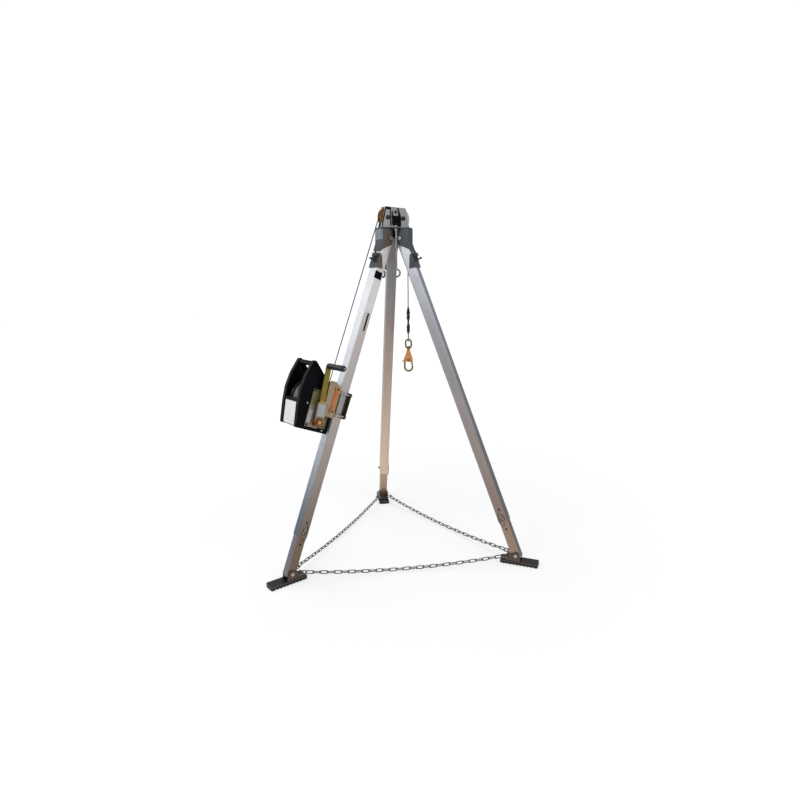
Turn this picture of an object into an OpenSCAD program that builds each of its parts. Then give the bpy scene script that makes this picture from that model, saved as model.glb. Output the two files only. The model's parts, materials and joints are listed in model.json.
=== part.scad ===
// Rescue tripod with a leg-mounted winch, standing on the floor. Millimetres, +Z up.
// The origin is the middle of the footprint on the floor. The winch leg points to -X.

/* [Legs] */
// Lean of an open leg from upright, in degrees
splay = 21.2; // [18:0.1:24]
// Distance of the head pivots from the tripod's middle
pivot_r = 46; // [44:0.5:54]
// Width of the outer square tube
tube_w = 50.8; // [48:0.1:54]
// Wall of the outer tube
tube_t = 3; // [2.4:0.1:3.4]
// Wall of the inner tube
inner_t = 3; // [2:0.1:3.6]
// Clearance on each side of the inner tube
slide_gap = 0.4; // [0.3:0.05:0.8]
// Corner radius of the outer tube
tube_corner = 4; // [3.6:0.1:6]
// Outer tube below the head pivot
outer_len = 1482; // [1420:1:1540]
// Outer tube above the head pivot
tube_top = 15; // [12:0.5:17]
// Inner tube below the outer tube as the tripod stands, as far as the foot pivot
inner_out = 179; // [140:1:240]
// Height of the locking pin above the lower end of the outer tube
pin_rise = 34; // [24:1:50]
// Distance between adjusting holes
hole_pitch = 72; // [60:1:76]
// Diameter of the locking pin
pin_d = 9.5; // [8:0.1:11]
// Clearance around the locking pin in its holes, on the radius
pin_gap = 0.3; // [0.2:0.05:0.5]

/* [Head] */
// Diameter of the leg pivot bolts
pivot_bolt_d = 12; // [10:0.5:14]
// Running clearance of pivots, on the radius
run_gap = 0.05; // [0.02:0.01:0.09]
// Thickness of the leg bracket flanges
bracket_t = 5; // [4:0.5:7]
// Clearance on each side of a leg in its bracket
bracket_gap = 0.6; // [0.4:0.1:1.5]
// Thickness of the leg bracket web, which stops the open leg
web_t = 6; // [4:0.5:8]
// Clearance between an open leg and its stop
stop_gap = 0.3; // [0.3:0.1:1]
// Radius of the upright part of the web, measured to its inside
web_r = 83; // [80:1:90]
// Reach of the web below the head pivot, along the leg
web_drop = 74; // [66:1:80]
// Bracket height above the head pivots
bracket_rise = 42; // [38:1:48]
// Thickness of the head plate
plate_t = 8; // [6:0.5:12]
// Rope radius on the sheaves
sheave_pitch_r = 40; // [36:0.5:42]
// Sheave radius outside the rope groove
sheave_rim = 6; // [5:0.5:7]
// Width of a sheave
sheave_w = 16; // [13:0.5:20]
// Side clearance of a sheave
sheave_gap = 0.6; // [0.4:0.1:1.5]
// Diameter of the sheave axles
sheave_axle_d = 14; // [10:0.5:18]
// Thickness of the cheek plates
cheek_t = 6; // [4:0.5:8]
// Distance of the winch-side sheave from the tripod's middle
sheave_in = 44; // [43.5:0.5:48]
// Distance of the load-side sheave from the tripod's middle
sheave_out = 50; // [49:0.5:56]
// Distance of the eyebolts from the tripod's middle
eye_r = 60; // [58:1:72]
// Turn of each eyebolt from the winch leg about the tripod's middle, in degrees
eye_turn = 64; // [58:1:70]
// Drop of the eye centres below the head plate
eye_drop = 206; // [180:1:240]
// Hole diameter of the eyebolts
eye_d = 26; // [24:0.5:32]
// Bar diameter of the eyebolts
eye_bar = 9.5; // [8:0.5:14]

/* [Feet] */
// Height of the foot pivots above the floor
foot_pivot_h = 48.4; // [46:0.2:56]
// Foot length inwards from its pivot
foot_in = 78; // [74:1:90]
// Foot length outwards from its pivot
foot_out = 108; // [90:1:120]
// Width of the sole
foot_w = 62; // [60:0.5:72]
// Thickness of the rubber sole
sole_h = 14; // [10:0.5:15]
// Thickness of the foot's base plate
base_t = 4; // [3:0.5:5]
// Thickness of the foot's ears
ear_t = 5; // [4:0.5:6]
// Diameter of the foot pivot bolts
foot_bolt_d = 10; // [8:0.5:12]
// Wire diameter of the chain
chain_d = 5; // [4:0.1:5.4]
// Wanted inside length of a chain link
link_len = 34; // [30:1:40]
// Inside width of a chain link
link_w = 9; // [8:0.5:12]
// Sag of a chain between two feet
chain_sag = 24; // [10:1:30]

/* [Winch] */
// Distance of the drum axis outwards from the leg's middle
drum_out = 154; // [150:0.5:162]
// Distance of the drum axis down from the head pivot
drum_drop = 845; // [800:1:900]
// Half width of the winch housing
case_half = 78; // [76:0.5:86]
// Depth of a hollow side shell
shell_w = 23; // [20:0.5:26]
// Wall of the side shells
shell_t = 3; // [2:0.5:5]
// Diameter of the rope
rope_d = 4.8; // [4:0.1:5]
// Rope radius on the outermost layer of the drum
wind_r = 72; // [68:0.5:73]
// Flange radius of the drum
flange_r = 80; // [78:0.5:82]
// Half width of the drum between its flanges
drum_half = 40; // [36:0.5:42]
// Thickness of the drum flanges
flange_t = 3; // [2:0.5:4]
// Diameter of the drum axle and of the crank shaft
shaft_d = 16; // [12:0.5:18]
// Gear module
gear_m = 2.5; // [2.4:0.05:2.6]
// Teeth of the drum gear
drum_teeth = 60; // [56:1:62]
// Teeth of the crank pinion
pinion_teeth = 15; // [14:1:18]
// Width of the drum gear
gear_w = 8; // [6:0.5:9]
// Thickness of the steel plates of the mount
mount_t = 5; // [4:0.5:6]
// Length of the crank arm
crank_len = 255; // [200:1:280]
// Length of the crank grip
grip_len = 119; // [90:1:130]
// Radius of the crank grip
grip_r = 14; // [12:0.5:18]

/* [Load line] */
// Height of the top of the black sleeve above the floor
sleeve_top = 1265; // [1180:1:1300]
// Bar diameter of the snap hook
hook_bar = 10; // [8:0.5:11]
// Turn of the snap hook about the rope, in degrees
hook_turn = -38; // [-90:1:90]

/* [Hidden] */
$fn = 48;

// Direction of each leg about the tripod's middle
az_winch = 180;
az_right = 300;
az_back = 60;
leg_dirs = [az_winch, az_right, az_back];

// Places that follow from the driving sizes
leg_len = outer_len + inner_out;
pin_drop = outer_len - pin_rise;
eye_dirs = [az_winch - eye_turn, az_winch + eye_turn];
pivot_z = foot_pivot_h + leg_len * cos(splay);
foot_r = pivot_r + leg_len * sin(splay);
inner_w = tube_w - 2 * tube_t - 2 * slide_gap;
bracket_in = tube_w / 2 + bracket_gap;
bracket_out = bracket_in + bracket_t;
bracket_top = pivot_z + bracket_rise;
plate_top = bracket_top + plate_t;
stop_x = tube_w / 2 + stop_gap;
sheave_r = sheave_pitch_r + sheave_rim;
sheave_z = plate_top + sheave_r + 2;
eye_z = bracket_top - eye_drop;
foot_corner = 8;
axis_x = (foot_r + foot_out
    - (foot_r + foot_out - foot_corner) * cos(60) - (foot_w / 2 - foot_corner) * sin(60) - foot_corner) / 2;
rope_r = rope_d / 2;
rope_clear = 0.4;
hang_x = sheave_out + sheave_pitch_r;
wall_in = case_half - shell_w;

// A leg's own point (outwards, up along the leg) as radius and height
function leg_point(x, z) = [
    pivot_r + x * cos(splay) - z * sin(splay),
    pivot_z + x * sin(splay) + z * cos(splay)
];
// Distance up along the leg at which a line beside it has a given radius
function leg_height_at(x, r) = (pivot_r + x * cos(splay) - r) / sin(splay);

module upright(az) {
    translate([axis_x, 0, 0]) rotate([0, 0, az]) children();
}
module on_leg(az) {
    upright(az) translate([pivot_r, 0, pivot_z]) rotate([0, -splay, 0]) children();
}
module at_foot(az) {
    upright(az) translate([foot_r, 0, 0]) children();
}
module at_winch() {
    on_leg(az_winch) translate([drum_out, 0, -drum_drop]) children();
}

// An outline in X and Z, carried along Y
module prism_y(points, y0, y1) {
    translate([0, y1, 0]) rotate([90, 0, 0]) linear_extrude(y1 - y0) polygon(points);
}
module cyl_y(r, y0, y1) {
    translate([0, y1, 0]) rotate([90, 0, 0]) cylinder(r = r, h = y1 - y0);
}
module cyl_x(r, x0, x1) {
    translate([x0, 0, 0]) rotate([0, 90, 0]) cylinder(r = r, h = x1 - x0);
}
module hex_y(r, y0, y1) {
    translate([0, y1, 0]) rotate([90, 0, 0]) cylinder(r = r, h = y1 - y0, $fn = 6);
}
module box(low, high) {
    translate(low) cube(high - low);
}
module rounded_bar(w, d, r, h) {
    linear_extrude(h) {
        square([w - 2 * r, d], center = true);
        square([w, d - 2 * r], center = true);
        for (i = [-1, 1], j = [-1, 1])
            translate([i * (w / 2 - r), j * (d / 2 - r)]) circle(r);
    }
}
// A ring of round bar about the Y axis, between two angles
module bar_ring_y(mean_r, bar_r, angle = 360, start = 0) {
    rotate([90, 0, 0]) rotate([0, 0, start])
        rotate_extrude(angle = angle) translate([mean_r, 0]) circle(bar_r, $fn = 24);
}

// One closed tube swept along points, with its rings square to the path
function unit(v) = v / norm(v);
function path_dir(p, i) = unit(p[min(i + 1, len(p) - 1)] - p[max(i - 1, 0)]);
function tube_ring(p, i, r, sides, ref) =
    let (t = path_dir(p, i), a = unit(cross(t, ref)), b = cross(t, a))
    [for (k = [0 : sides - 1]) p[i] + r * (cos(360 * k / sides) * a + sin(360 * k / sides) * b)];
module swept_tube(p, r, sides, ref) {
    n = len(p);
    points = [for (i = [0 : n - 1]) each tube_ring(p, i, r, sides, ref)];
    walls = [
        for (i = [0 : n - 2], k = [0 : sides - 1])
            let (a = i * sides + k, b = i * sides + (k + 1) % sides)
            each [[a, b + sides, b], [a, a + sides, b + sides]]
    ];
    near_cap = [for (k = [1 : sides - 2]) [0, k, k + 1]];
    far_cap = [for (k = [1 : sides - 2]) [(n - 1) * sides, (n - 1) * sides + k + 1, (n - 1) * sides + k]];
    polyhedron(points, concat(walls, near_cap, far_cap));
}

// Head: brackets, plate and bolts
module leg_brackets() {
    low = [leg_point(stop_x, -web_drop), leg_point(stop_x + web_t, -web_drop)];
    bend_in = leg_point(stop_x, leg_height_at(stop_x, web_r));
    bend_out = leg_point(stop_x + web_t, leg_height_at(stop_x + web_t, web_r + web_t));
    flange_in = pivot_r - pivot_bolt_d - 4;
    flange_low = pivot_z - pivot_bolt_d - 16;
    web = [[web_r, bracket_top], [web_r + web_t, bracket_top], bend_out, low[1], low[0], bend_in];
    flange = [
        [flange_in, bracket_top], [web_r + web_t, bracket_top], bend_out, low[1], [flange_in, flange_low]
    ];
    color("#4a515c") for (az = leg_dirs) upright(az) difference() {
        union() {
            prism_y(web, -bracket_out, bracket_out);
            for (s = [-1, 1])
                prism_y(flange, min(s * bracket_in, s * bracket_out), max(s * bracket_in, s * bracket_out));
        }
        translate([pivot_r, 0, pivot_z])
            cyl_y(pivot_bolt_d / 2 + run_gap, -bracket_out - 1, bracket_out + 1);
    }
}
module head_plate() {
    color("#3c424b") difference() {
        translate([axis_x, 0, bracket_top]) union() {
            for (az = leg_dirs) rotate([0, 0, az])
                box([-bracket_out / 2, -bracket_out, 0], [web_r + web_t, bracket_out, plate_t]);
            for (az = eye_dirs) rotate([0, 0, az]) {
                box([0, -eye_bar * 1.6, 0], [eye_r, eye_bar * 1.6, plate_t]);
                translate([eye_r, 0, 0]) cylinder(r = eye_bar * 1.6, h = plate_t);
            }
        }
        for (az = eye_dirs) upright(az)
            translate([eye_r, 0, bracket_top - 1]) cylinder(d = eye_bar + 0.4, h = plate_t + 2);
    }
}
module leg_pivot_bolts() {
    head = 0.7 * pivot_bolt_d;
    color("#9a9da0") for (az = leg_dirs) upright(az) translate([pivot_r, 0, pivot_z]) {
        cyl_y(pivot_bolt_d / 2, -bracket_out - head, bracket_out);
        hex_y(0.85 * pivot_bolt_d, bracket_out, bracket_out + head);
        difference() {
            hex_y(0.85 * pivot_bolt_d, -bracket_out - head, -bracket_out);
            cyl_y(pivot_bolt_d / 2, -bracket_out - head - 1, -bracket_out + 1);
        }
    }
}
module eyebolts() {
    bar = eye_bar / 2;
    ring = eye_d / 2 + 0.9 * bar;
    nut = 0.7 * eye_bar;
    color("#b9a98a") for (az = eye_dirs) upright(az) translate([eye_r, 0, 0]) {
        difference() {
            union() {
                translate([0, 0, eye_z]) rotate([0, 0, 90]) bar_ring_y(ring, bar);
                translate([0, 0, eye_z + ring]) cylinder(r = bar, h = plate_top + nut - eye_z - ring);
            }
            translate([0, 0, eye_z]) cyl_x(eye_d / 2, -eye_bar, eye_bar);
        }
        for (z = [plate_top, bracket_top - nut]) translate([0, 0, z]) difference() {
            cylinder(r = 0.85 * eye_bar, h = nut, $fn = 6);
            translate([0, 0, -1]) cylinder(r = bar, h = nut + 2);
        }
    }
}

// Turret: two cheek plates carry two sheaves
cheek_in = sheave_w / 2 + sheave_gap;
cheek_out = cheek_in + cheek_t;
cheek_top = sheave_z + sheave_r + 4;
spacer_r = 4;
spacer_nut_r = 7;
spacer_z = [plate_top + cheek_t + spacer_nut_r + 1, cheek_top - 22];
module cheek_plate() {
    low = [-sheave_in - 0.9 * sheave_r, sheave_out + 0.9 * sheave_r];
    high = [-sheave_in - 0.35 * sheave_r, sheave_out + 0.35 * sheave_r];
    mid = (sheave_out - sheave_in) / 2;
    window = 12;
    difference() {
        union() {
            prism_y([[low[0], plate_top], [low[1], plate_top], [high[1], cheek_top], [high[0], cheek_top]],
                cheek_in, cheek_out);
            box([-sheave_in, cheek_in, plate_top], [sheave_out, cheek_out + 18, plate_top + cheek_t]);
        }
        for (x = [-sheave_in, sheave_out]) translate([x, 0, sheave_z])
            cyl_y(sheave_axle_d / 2 + run_gap, cheek_in - 1, cheek_out + 1);
        for (x = [mid - 1.6 * window, mid + 1.6 * window])
            prism_y([[x - window / 2, plate_top + cheek_t + 8], [x + window / 2, plate_top + cheek_t + 8],
                [x + window / 2, cheek_top - 26], [x, cheek_top - 14], [x - window / 2, cheek_top - 26]],
                cheek_in - 1, cheek_out + 1);
        for (z = spacer_z) translate([mid, 0, z])
            cyl_y(spacer_r + run_gap, cheek_in - 1, cheek_out + 1);
    }
}
module cheek_plates() {
    color("#b8bcc0") translate([axis_x, 0, 0]) {
        cheek_plate();
        mirror([0, 1, 0]) cheek_plate();
    }
}
module sheave_axles() {
    head = 0.5 * sheave_axle_d;
    mid = (sheave_out - sheave_in) / 2;
    color("#c2a14e") translate([axis_x, 0, 0]) {
        for (x = [-sheave_in, sheave_out]) translate([x, 0, sheave_z]) {
            cyl_y(sheave_axle_d / 2, -cheek_out - head, cheek_out);
            hex_y(0.8 * sheave_axle_d, cheek_out, cheek_out + head);
            difference() {
                hex_y(0.8 * sheave_axle_d, -cheek_out - head, -cheek_out);
                cyl_y(sheave_axle_d / 2, -cheek_out - head - 1, -cheek_out + 1);
            }
        }
        for (z = spacer_z) translate([mid, 0, z]) {
            cyl_y(spacer_r, -cheek_out - 3, cheek_out + 3);
            for (s = [-1, 1]) difference() {
                hex_y(spacer_nut_r, min(s * cheek_out, s * (cheek_out + 5)),
                    max(s * cheek_out, s * (cheek_out + 5)));
                cyl_y(spacer_r, -cheek_out - 6, cheek_out + 6);
            }
        }
    }
}
module sheave(x) {
    groove = sheave_pitch_r - rope_r - rope_clear;
    half = sheave_w / 2;
    color("#232528") translate([axis_x + x, 0, sheave_z]) rotate([90, 0, 0]) rotate_extrude($fn = 72) polygon([
        [sheave_axle_d / 2 + run_gap, -half], [sheave_r, -half], [sheave_r, -half + 2],
        [groove, -rope_r - rope_clear], [groove, rope_r + rope_clear], [sheave_r, half - 2], [sheave_r, half],
        [sheave_axle_d / 2 + run_gap, half]
    ]);
}
module sheave_winch_side() {
    sheave(-sheave_in);
}
module sheave_load_side() {
    sheave(sheave_out);
}

// Legs: an outer tube, an inner tube and a locking pin with its lanyard
module square_tube(w, t, corner, h) {
    difference() {
        rounded_bar(w, w, corner, h);
        translate([0, 0, -1]) rounded_bar(w - 2 * t, w - 2 * t, max(corner - t, 0.5), h + 2);
    }
}
module outer_tube(az) {
    color("#b9bcc2") on_leg(az) difference() {
        translate([0, 0, -outer_len]) square_tube(tube_w, tube_t, tube_corner, outer_len + tube_top);
        cyl_y(pivot_bolt_d / 2 + run_gap, -tube_w, tube_w);
        translate([0, 0, -pin_drop]) cyl_y(pin_d / 2 + pin_gap, -tube_w, tube_w);
    }
}
inner_top = pin_drop - 5 * hole_pitch - 40;
inner_tail = 17;
module inner_tube(az) {
    inner_corner = max(tube_corner - tube_t, 0.5) + 0.4;
    color("#a89c92") on_leg(az) difference() {
        translate([0, 0, -leg_len - inner_tail])
            square_tube(inner_w, inner_t, inner_corner, leg_len + inner_tail - inner_top);
        translate([0, 0, -leg_len]) cyl_y(foot_bolt_d / 2 + run_gap, -tube_w, tube_w);
        for (k = [-5 : 1]) translate([0, 0, -pin_drop - k * hole_pitch])
            cyl_y(pin_d / 2 + pin_gap, -tube_w, tube_w);
    }
}
// The pin's head is on the side that faces away from the neighbouring foot chain
function pin_side(az) = az == az_winch ? 1 : -1;
pin_collar = 5;
ring_bar = 1.6;
module leg_pin(az) {
    face = tube_w / 2;
    ring = 11;
    color("#c9ccd0") on_leg(az) translate([0, 0, -pin_drop]) mirror([0, pin_side(az) < 0 ? 1 : 0, 0]) {
        cyl_y(pin_d / 2, -face - 12, face + 0.5);
        cyl_y(0.8 * pin_d, face + 0.5, face + 0.5 + pin_collar);
        translate([0, face + 0.5 + pin_collar - ring_bar, -0.8 * pin_d - ring + 2])
            bar_ring_y(ring, ring_bar);
    }
}
// Lanyard route beside the tube: across, up along the leg, from the rivet to the pin
lanyard_route = [
    [0, 30], [-7, 24], [-13, 12], [-17, -4], [-19, -20], [-19, -36], [-16, -50], [-10, -56], [-4, -52],
    [-1, -43], [0, -36]
];
lanyard_d = 2;
rivet_r = 5;
module pin_lanyard(az) {
    side = pin_side(az);
    y = tube_w / 2 + 3;
    color("#6d6a63") on_leg(az) translate([0, 0, -pin_drop]) {
        swept_tube([for (p = lanyard_route) [p[0], side * y, p[1]]], lanyard_d / 2, 8, [0, 1, 0]);
        translate([0, 0, lanyard_route[0][1] + rivet_r]) mirror([0, side < 0 ? 1 : 0, 0])
            cyl_y(rivet_r, tube_w / 2, y + lanyard_d);
    }
}

// Leg lock: a clip around the outer half of the leg guides a sliding bolt
clip_t = 5;
clip_top = web_drop + 12;
clip_len = 72;
lock_r = 5;
lock_x = stop_x + web_t + 0.5 + lock_r;
lock_travel = 12;
guide_low = 20;
knob_stem_r = 3.5;
module lock_clip(az) {
    outer = tube_w / 2 + clip_t;
    color("#3d424a") on_leg(az) difference() {
        union() {
            box([tube_w / 2, -outer, -clip_top - clip_len], [outer, outer, -clip_top]);
            for (s = [-1, 1])
                prism_y([[tube_w / 2 - 9, -clip_top - 6], [outer, -clip_top], [outer, -clip_top - clip_len],
                    [-9, -clip_top - clip_len + 8]],
                    min(s * tube_w / 2, s * outer), max(s * tube_w / 2, s * outer));
            box([outer - 1, -lock_r - 6, -clip_top - guide_low],
                [lock_x + lock_r + 4, lock_r + 6, -clip_top - 4]);
        }
        translate([lock_x, 0, -clip_top - guide_low - 1]) cylinder(r = lock_r + run_gap, h = guide_low + 2);
    }
}
module lock_bolt(az) {
    nose = -web_drop - 5;
    knob = -clip_top - guide_low - lock_travel - knob_stem_r - 0.5;
    tail = knob - 8;
    color("#17181a") on_leg(az) translate([lock_x, 0, 0]) {
        translate([0, 0, tail]) cylinder(r = lock_r, h = nose - tail);
        translate([0, 0, knob]) {
            cyl_x(knob_stem_r, 0, 18);
            translate([18, 0, 0]) sphere(r = 5.5);
        }
    }
}

// Feet: a shoe with two ears on a ribbed rubber sole
ear_in = inner_w / 2 + 0.6;
ear_out = ear_in + ear_t;
lug_x = -40;
lug_z = foot_pivot_h - 6;
lug_hole_r = 6.5;
module foot_plan(h) {
    w = foot_in + foot_out;
    translate([(foot_out - foot_in) / 2, 0, 0]) rounded_bar(w, foot_w, foot_corner, h);
}
module foot_sole(az) {
    step = 17;
    groove_r = 5;
    color("#1b1b1c") at_foot(az) difference() {
        foot_plan(sole_h);
        for (x = [-foot_in + 0.6 * step : step : foot_out - 0.4 * step])
            translate([x, 0, -0.3 * groove_r]) cyl_y(groove_r, -foot_w, foot_w);
    }
}
module foot_ear() {
    top = sole_h + base_t;
    ear_r = foot_bolt_d + 8;
    lug_r = lug_hole_r + 6;
    difference() {
        union() {
            translate([0, 0, foot_pivot_h]) cyl_y(ear_r, ear_in, ear_out);
            translate([lug_x, 0, lug_z]) cyl_y(lug_r, ear_in, ear_out);
            prism_y([[lug_x - lug_r + 2, top], [ear_r + 6, top], [ear_r, foot_pivot_h],
                [0, foot_pivot_h + ear_r - 6], [lug_x, lug_z + lug_r - 3], [lug_x - lug_r + 2, lug_z]],
                ear_in, ear_out);
        }
        translate([0, 0, foot_pivot_h]) cyl_y(foot_bolt_d / 2 + run_gap, ear_in - 1, ear_out + 1);
        translate([lug_x, 0, lug_z]) cyl_y(lug_hole_r, ear_in - 1, ear_out + 1);
    }
}
module foot_shoe(az) {
    head = 0.7 * foot_bolt_d;
    color("#6b5b58") at_foot(az) {
        union() {
            translate([0, 0, sole_h]) foot_plan(base_t);
            foot_ear();
            mirror([0, 1, 0]) foot_ear();
        }
        translate([0, 0, foot_pivot_h]) {
            cyl_y(foot_bolt_d / 2, -ear_out - head, ear_out);
            hex_y(0.9 * foot_bolt_d, ear_out, ear_out + head);
            difference() {
                hex_y(0.9 * foot_bolt_d, -ear_out - head, -ear_out);
                cyl_y(foot_bolt_d / 2, -ear_out - head - 1, -ear_out + 1);
            }
        }
    }
}

// Chains: links between the ears of two feet, joined to each ear by a round ring
chain_r = chain_d / 2;
chain_gap = 0.8;
ring_r = 17;
function lug_point(az, side) =
    let (x = foot_r + lug_x, y = side * (ear_in + ear_t / 2))
    [axis_x + x * cos(az) - y * sin(az), x * sin(az) + y * cos(az), lug_z];
// A chain link along X, from wire middle to wire middle
module chain_link(long) {
    half = (link_w + chain_d) / 2;
    straight = long - 2 * half;
    for (s = [-1, 1]) {
        translate([0, s * half, 0]) cyl_x(chain_r, half - 0.01, half + straight + 0.01);
        translate([s > 0 ? half + straight : half, 0, 0]) rotate([0, 0, s > 0 ? -90 : 90])
            rotate_extrude(angle = 180, $fn = 32) translate([half, 0]) circle(chain_r, $fn = 16);
    }
}
module chain(az_a, az_b) {
    a = lug_point(az_a, 1);
    b = lug_point(az_b, -1);
    span = norm(b - a);
    turn = atan2(b[1] - a[1], b[0] - a[0]);
    start = 2 * ring_r - chain_d - chain_gap;
    run = span - 2 * start;
    count = 2 * floor(run / link_len / 2) + 1;
    inside = (run - chain_d + (count - 1) * chain_gap) / count;
    function sag(s) = -4 * chain_sag * (s - start) * (run - s + start) / (run * run);
    color("#a3a29c") translate(a) rotate([0, 0, turn]) {
        for (x = [ring_r, span - ring_r]) translate([x, 0, 0])
            rotate_extrude() translate([ring_r, 0]) circle(chain_r, $fn = 16);
        for (i = [0 : count - 1])
            let (s = start + i * (inside - chain_gap), e = s + inside + chain_d,
                slope = atan2(sag(e) - sag(s), e - s))
            translate([s, 0, sag(s)]) rotate([0, -slope, 0]) rotate([i % 2 == 0 ? 90 : 0, 0, 0])
                chain_link(inside + chain_d);
    }
}

// Winch housing, in a frame at the drum axis: X outwards from the leg, Z up along it
case_back = 86;
case_outline = [
    [64, 163], [72, 168], [82, 163], [100, 92], [105, 25], [97, -41], [77, -140], [-case_back, -140], [-83, 42]
];
pinion_r = gear_m * pinion_teeth / 2;
gear_r = gear_m * drum_teeth / 2;
gear_y = drum_half + flange_t;
gear_clear = 5;
crank_bearing = 187.4;
crank_at = (gear_r + pinion_r) * [sin(crank_bearing), cos(crank_bearing)];
module case_shell() {
    inset = 1 - 3 * shell_t / 130;
    boss = shaft_d / 2 + 8;
    boss_in = gear_y + gear_w + gear_clear;
    difference() {
        union() {
            difference() {
                prism_y(case_outline, wall_in, case_half);
                prism_y(inset * case_outline, wall_in - 1, case_half - shell_t);
            }
            for (p = [[0, 0], crank_at]) translate([p[0], 0, p[1]])
                cyl_y(boss, boss_in, case_half - shell_t + 1);
        }
        for (p = [[0, 0], crank_at]) translate([p[0], 0, p[1]])
            cyl_y(shaft_d / 2 + run_gap, min(wall_in, boss_in) - 1, case_half + 1);
    }
}
module winch_case_near() {
    color("#15171a") at_winch() case_shell();
}
module winch_case_far() {
    color("#15171a") at_winch() mirror([0, 1, 0]) case_shell();
}
module carry_handle() {
    color("#15171a") at_winch() translate([70, 0, 152]) cyl_y(11.5, -wall_in, wall_in);
}
module front_cover() {
    panel = [[95, -22], [92, -41], [73, -138], [-80, -138], [-80, -132], [66, -132], [86, -41], [89, -22]];
    color("#1b1d20") at_winch() prism_y(panel, -wall_in, wall_in);
}
module gear_plate() {
    color("#b0934d") at_winch() difference() {
        prism_y([[44, 48], [-22, 48], [-26, -124], [41, -124]], case_half, case_half + mount_t - 1);
        translate([crank_at[0], 0, crank_at[1]])
            cyl_y(shaft_d / 2 + 1, case_half - 1, case_half + mount_t + 1);
        cyl_y(shaft_d / 2 + run_gap, case_half - 1, case_half + mount_t + 1);
    }
}

// Mount: a yoke around the housing, clamped to the leg by four studs
web_x = -case_back - 0.4;
yoke_out = case_half + mount_t;
stud_y = tube_w / 2 + 12;
stud_r = 4;
stud_z = [-42, 62];
saddle_x = tube_w / 2 - drum_out;
clamp_half = stud_y + 9;
module stud_holes(x0, x1) {
    for (y = [-stud_y, stud_y], z = stud_z)
        translate([0, y, z]) cyl_x(stud_r + 0.2, x0, x1);
}
module winch_bracket() {
    cheek = [
        [web_x - mount_t, -60], [-34, -60], [-26, 96], [-32, 104], [-60, 104], [web_x - mount_t, 78]
    ];
    color("#9c8a5a") at_winch() difference() {
        union() {
            box([web_x - mount_t, -yoke_out, -60], [web_x, yoke_out, 30]);
            for (s = [-1, 1])
                prism_y(cheek, min(s * case_half, s * yoke_out), max(s * case_half, s * yoke_out));
            box([saddle_x, -clamp_half, stud_z[0] - 12], [saddle_x + mount_t, clamp_half, stud_z[1] + 12]);
            for (y = [-24, 18])
                box([saddle_x + 1, y, -55], [web_x - 1, y + 6, 28]);
        }
        stud_holes(saddle_x - 1, saddle_x + mount_t + 1);
    }
}
module clamp_plate() {
    far_x = saddle_x - tube_w;
    side_t = 3;
    side_in = tube_w / 2 + 0.3;
    color("#4a3a22") at_winch() difference() {
        union() {
            box([far_x - mount_t, -clamp_half, stud_z[0] - 12], [far_x, clamp_half, stud_z[1] + 12]);
            for (s = [-1, 1])
                box([far_x - 1, min(s * side_in, s * (side_in + side_t)), stud_z[0] + 6],
                    [saddle_x - 4, max(s * side_in, s * (side_in + side_t)), stud_z[1] - 6]);
        }
        stud_holes(far_x - mount_t - 1, far_x + 1);
    }
}
module clamp_studs() {
    far_x = saddle_x - tube_w - mount_t;
    near_x = saddle_x + mount_t;
    nut = 6;
    color("#c9ccd0") at_winch() for (y = [-stud_y, stud_y], z = stud_z) translate([0, y, z]) {
        cyl_x(stud_r, far_x - nut - 3, near_x + nut);
        for (x = [far_x - nut, near_x]) difference() {
            translate([x, 0, 0]) rotate([0, 90, 0]) cylinder(r = 7.5, h = nut, $fn = 6);
            cyl_x(stud_r, x - 1, x + nut + 1);
        }
    }
}
module clamp_strap() {
    at = -72;
    ends = [-31, 72];
    boss = 11;
    half = 8;
    color("#b5682f") at_winch() {
        for (z = ends) translate([at, 0, z]) cyl_y(boss, yoke_out, yoke_out + 9);
        box([at - half, yoke_out, ends[0]], [at + half, yoke_out + 4, ends[1]]);
    }
}

// Drum, gear and rope winding turn on the drum axle
module winch_drum() {
    chord_dip = wind_r * (1 - cos(180 / wind_rings));
    core = wind_r - rope_r - chord_dip - rope_clear;
    color("#8d9094") at_winch() difference() {
        union() {
            cyl_y(core, -drum_half, drum_half);
            for (y = [-drum_half - flange_t, drum_half]) cyl_y(flange_r, y, y + flange_t);
        }
        cyl_y(shaft_d / 2 + run_gap, -drum_half - flange_t - 1, drum_half + flange_t + 1);
    }
}
module drum_axle() {
    color("#77797c") at_winch() cyl_y(shaft_d / 2, -case_half - 2, case_half + mount_t - 1);
}
// Involute teeth as an outline, with one tooth pointing along +X
tooth_play = 0.35;
function involute(r, base) = let (t = sqrt(max(r * r / base / base - 1, 0))) t * 180 / PI - atan(t);
function tooth_half(r, pitch, teeth) =
    let (base = pitch * cos(20))
    90 / teeth - tooth_play / pitch * 90 / PI + involute(pitch, base) - involute(max(r, base), base);
function gear_outline(teeth) =
    let (pitch = gear_m * teeth / 2, low = pitch - 1.25 * gear_m, high = pitch + 0.85 * gear_m)
    [
        for (i = [0 : teeth - 1])
            let (mid = 360 * i / teeth)
            each concat(
                [for (k = [0 : 4]) let (r = low + (high - low) * k / 4)
                    r * [cos(mid - tooth_half(r, pitch, teeth)), sin(mid - tooth_half(r, pitch, teeth))]],
                [for (k = [4 : -1 : 0]) let (r = low + (high - low) * k / 4)
                    r * [cos(mid + tooth_half(r, pitch, teeth)), sin(mid + tooth_half(r, pitch, teeth))]])
    ];
// Angle, in the plane of the gears, from the drum axis to the crank axis
mesh_angle = atan2(crank_at[1], crank_at[0]);
module drum_gear() {
    color("#8a7a4a") at_winch() difference() {
        translate([0, gear_y + gear_w, 0]) rotate([90, 0, 0]) rotate([0, 0, mesh_angle])
            linear_extrude(gear_w) polygon(gear_outline(drum_teeth));
        cyl_y(shaft_d / 2 + run_gap, gear_y - 1, gear_y + gear_w + 1);
    }
}
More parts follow.
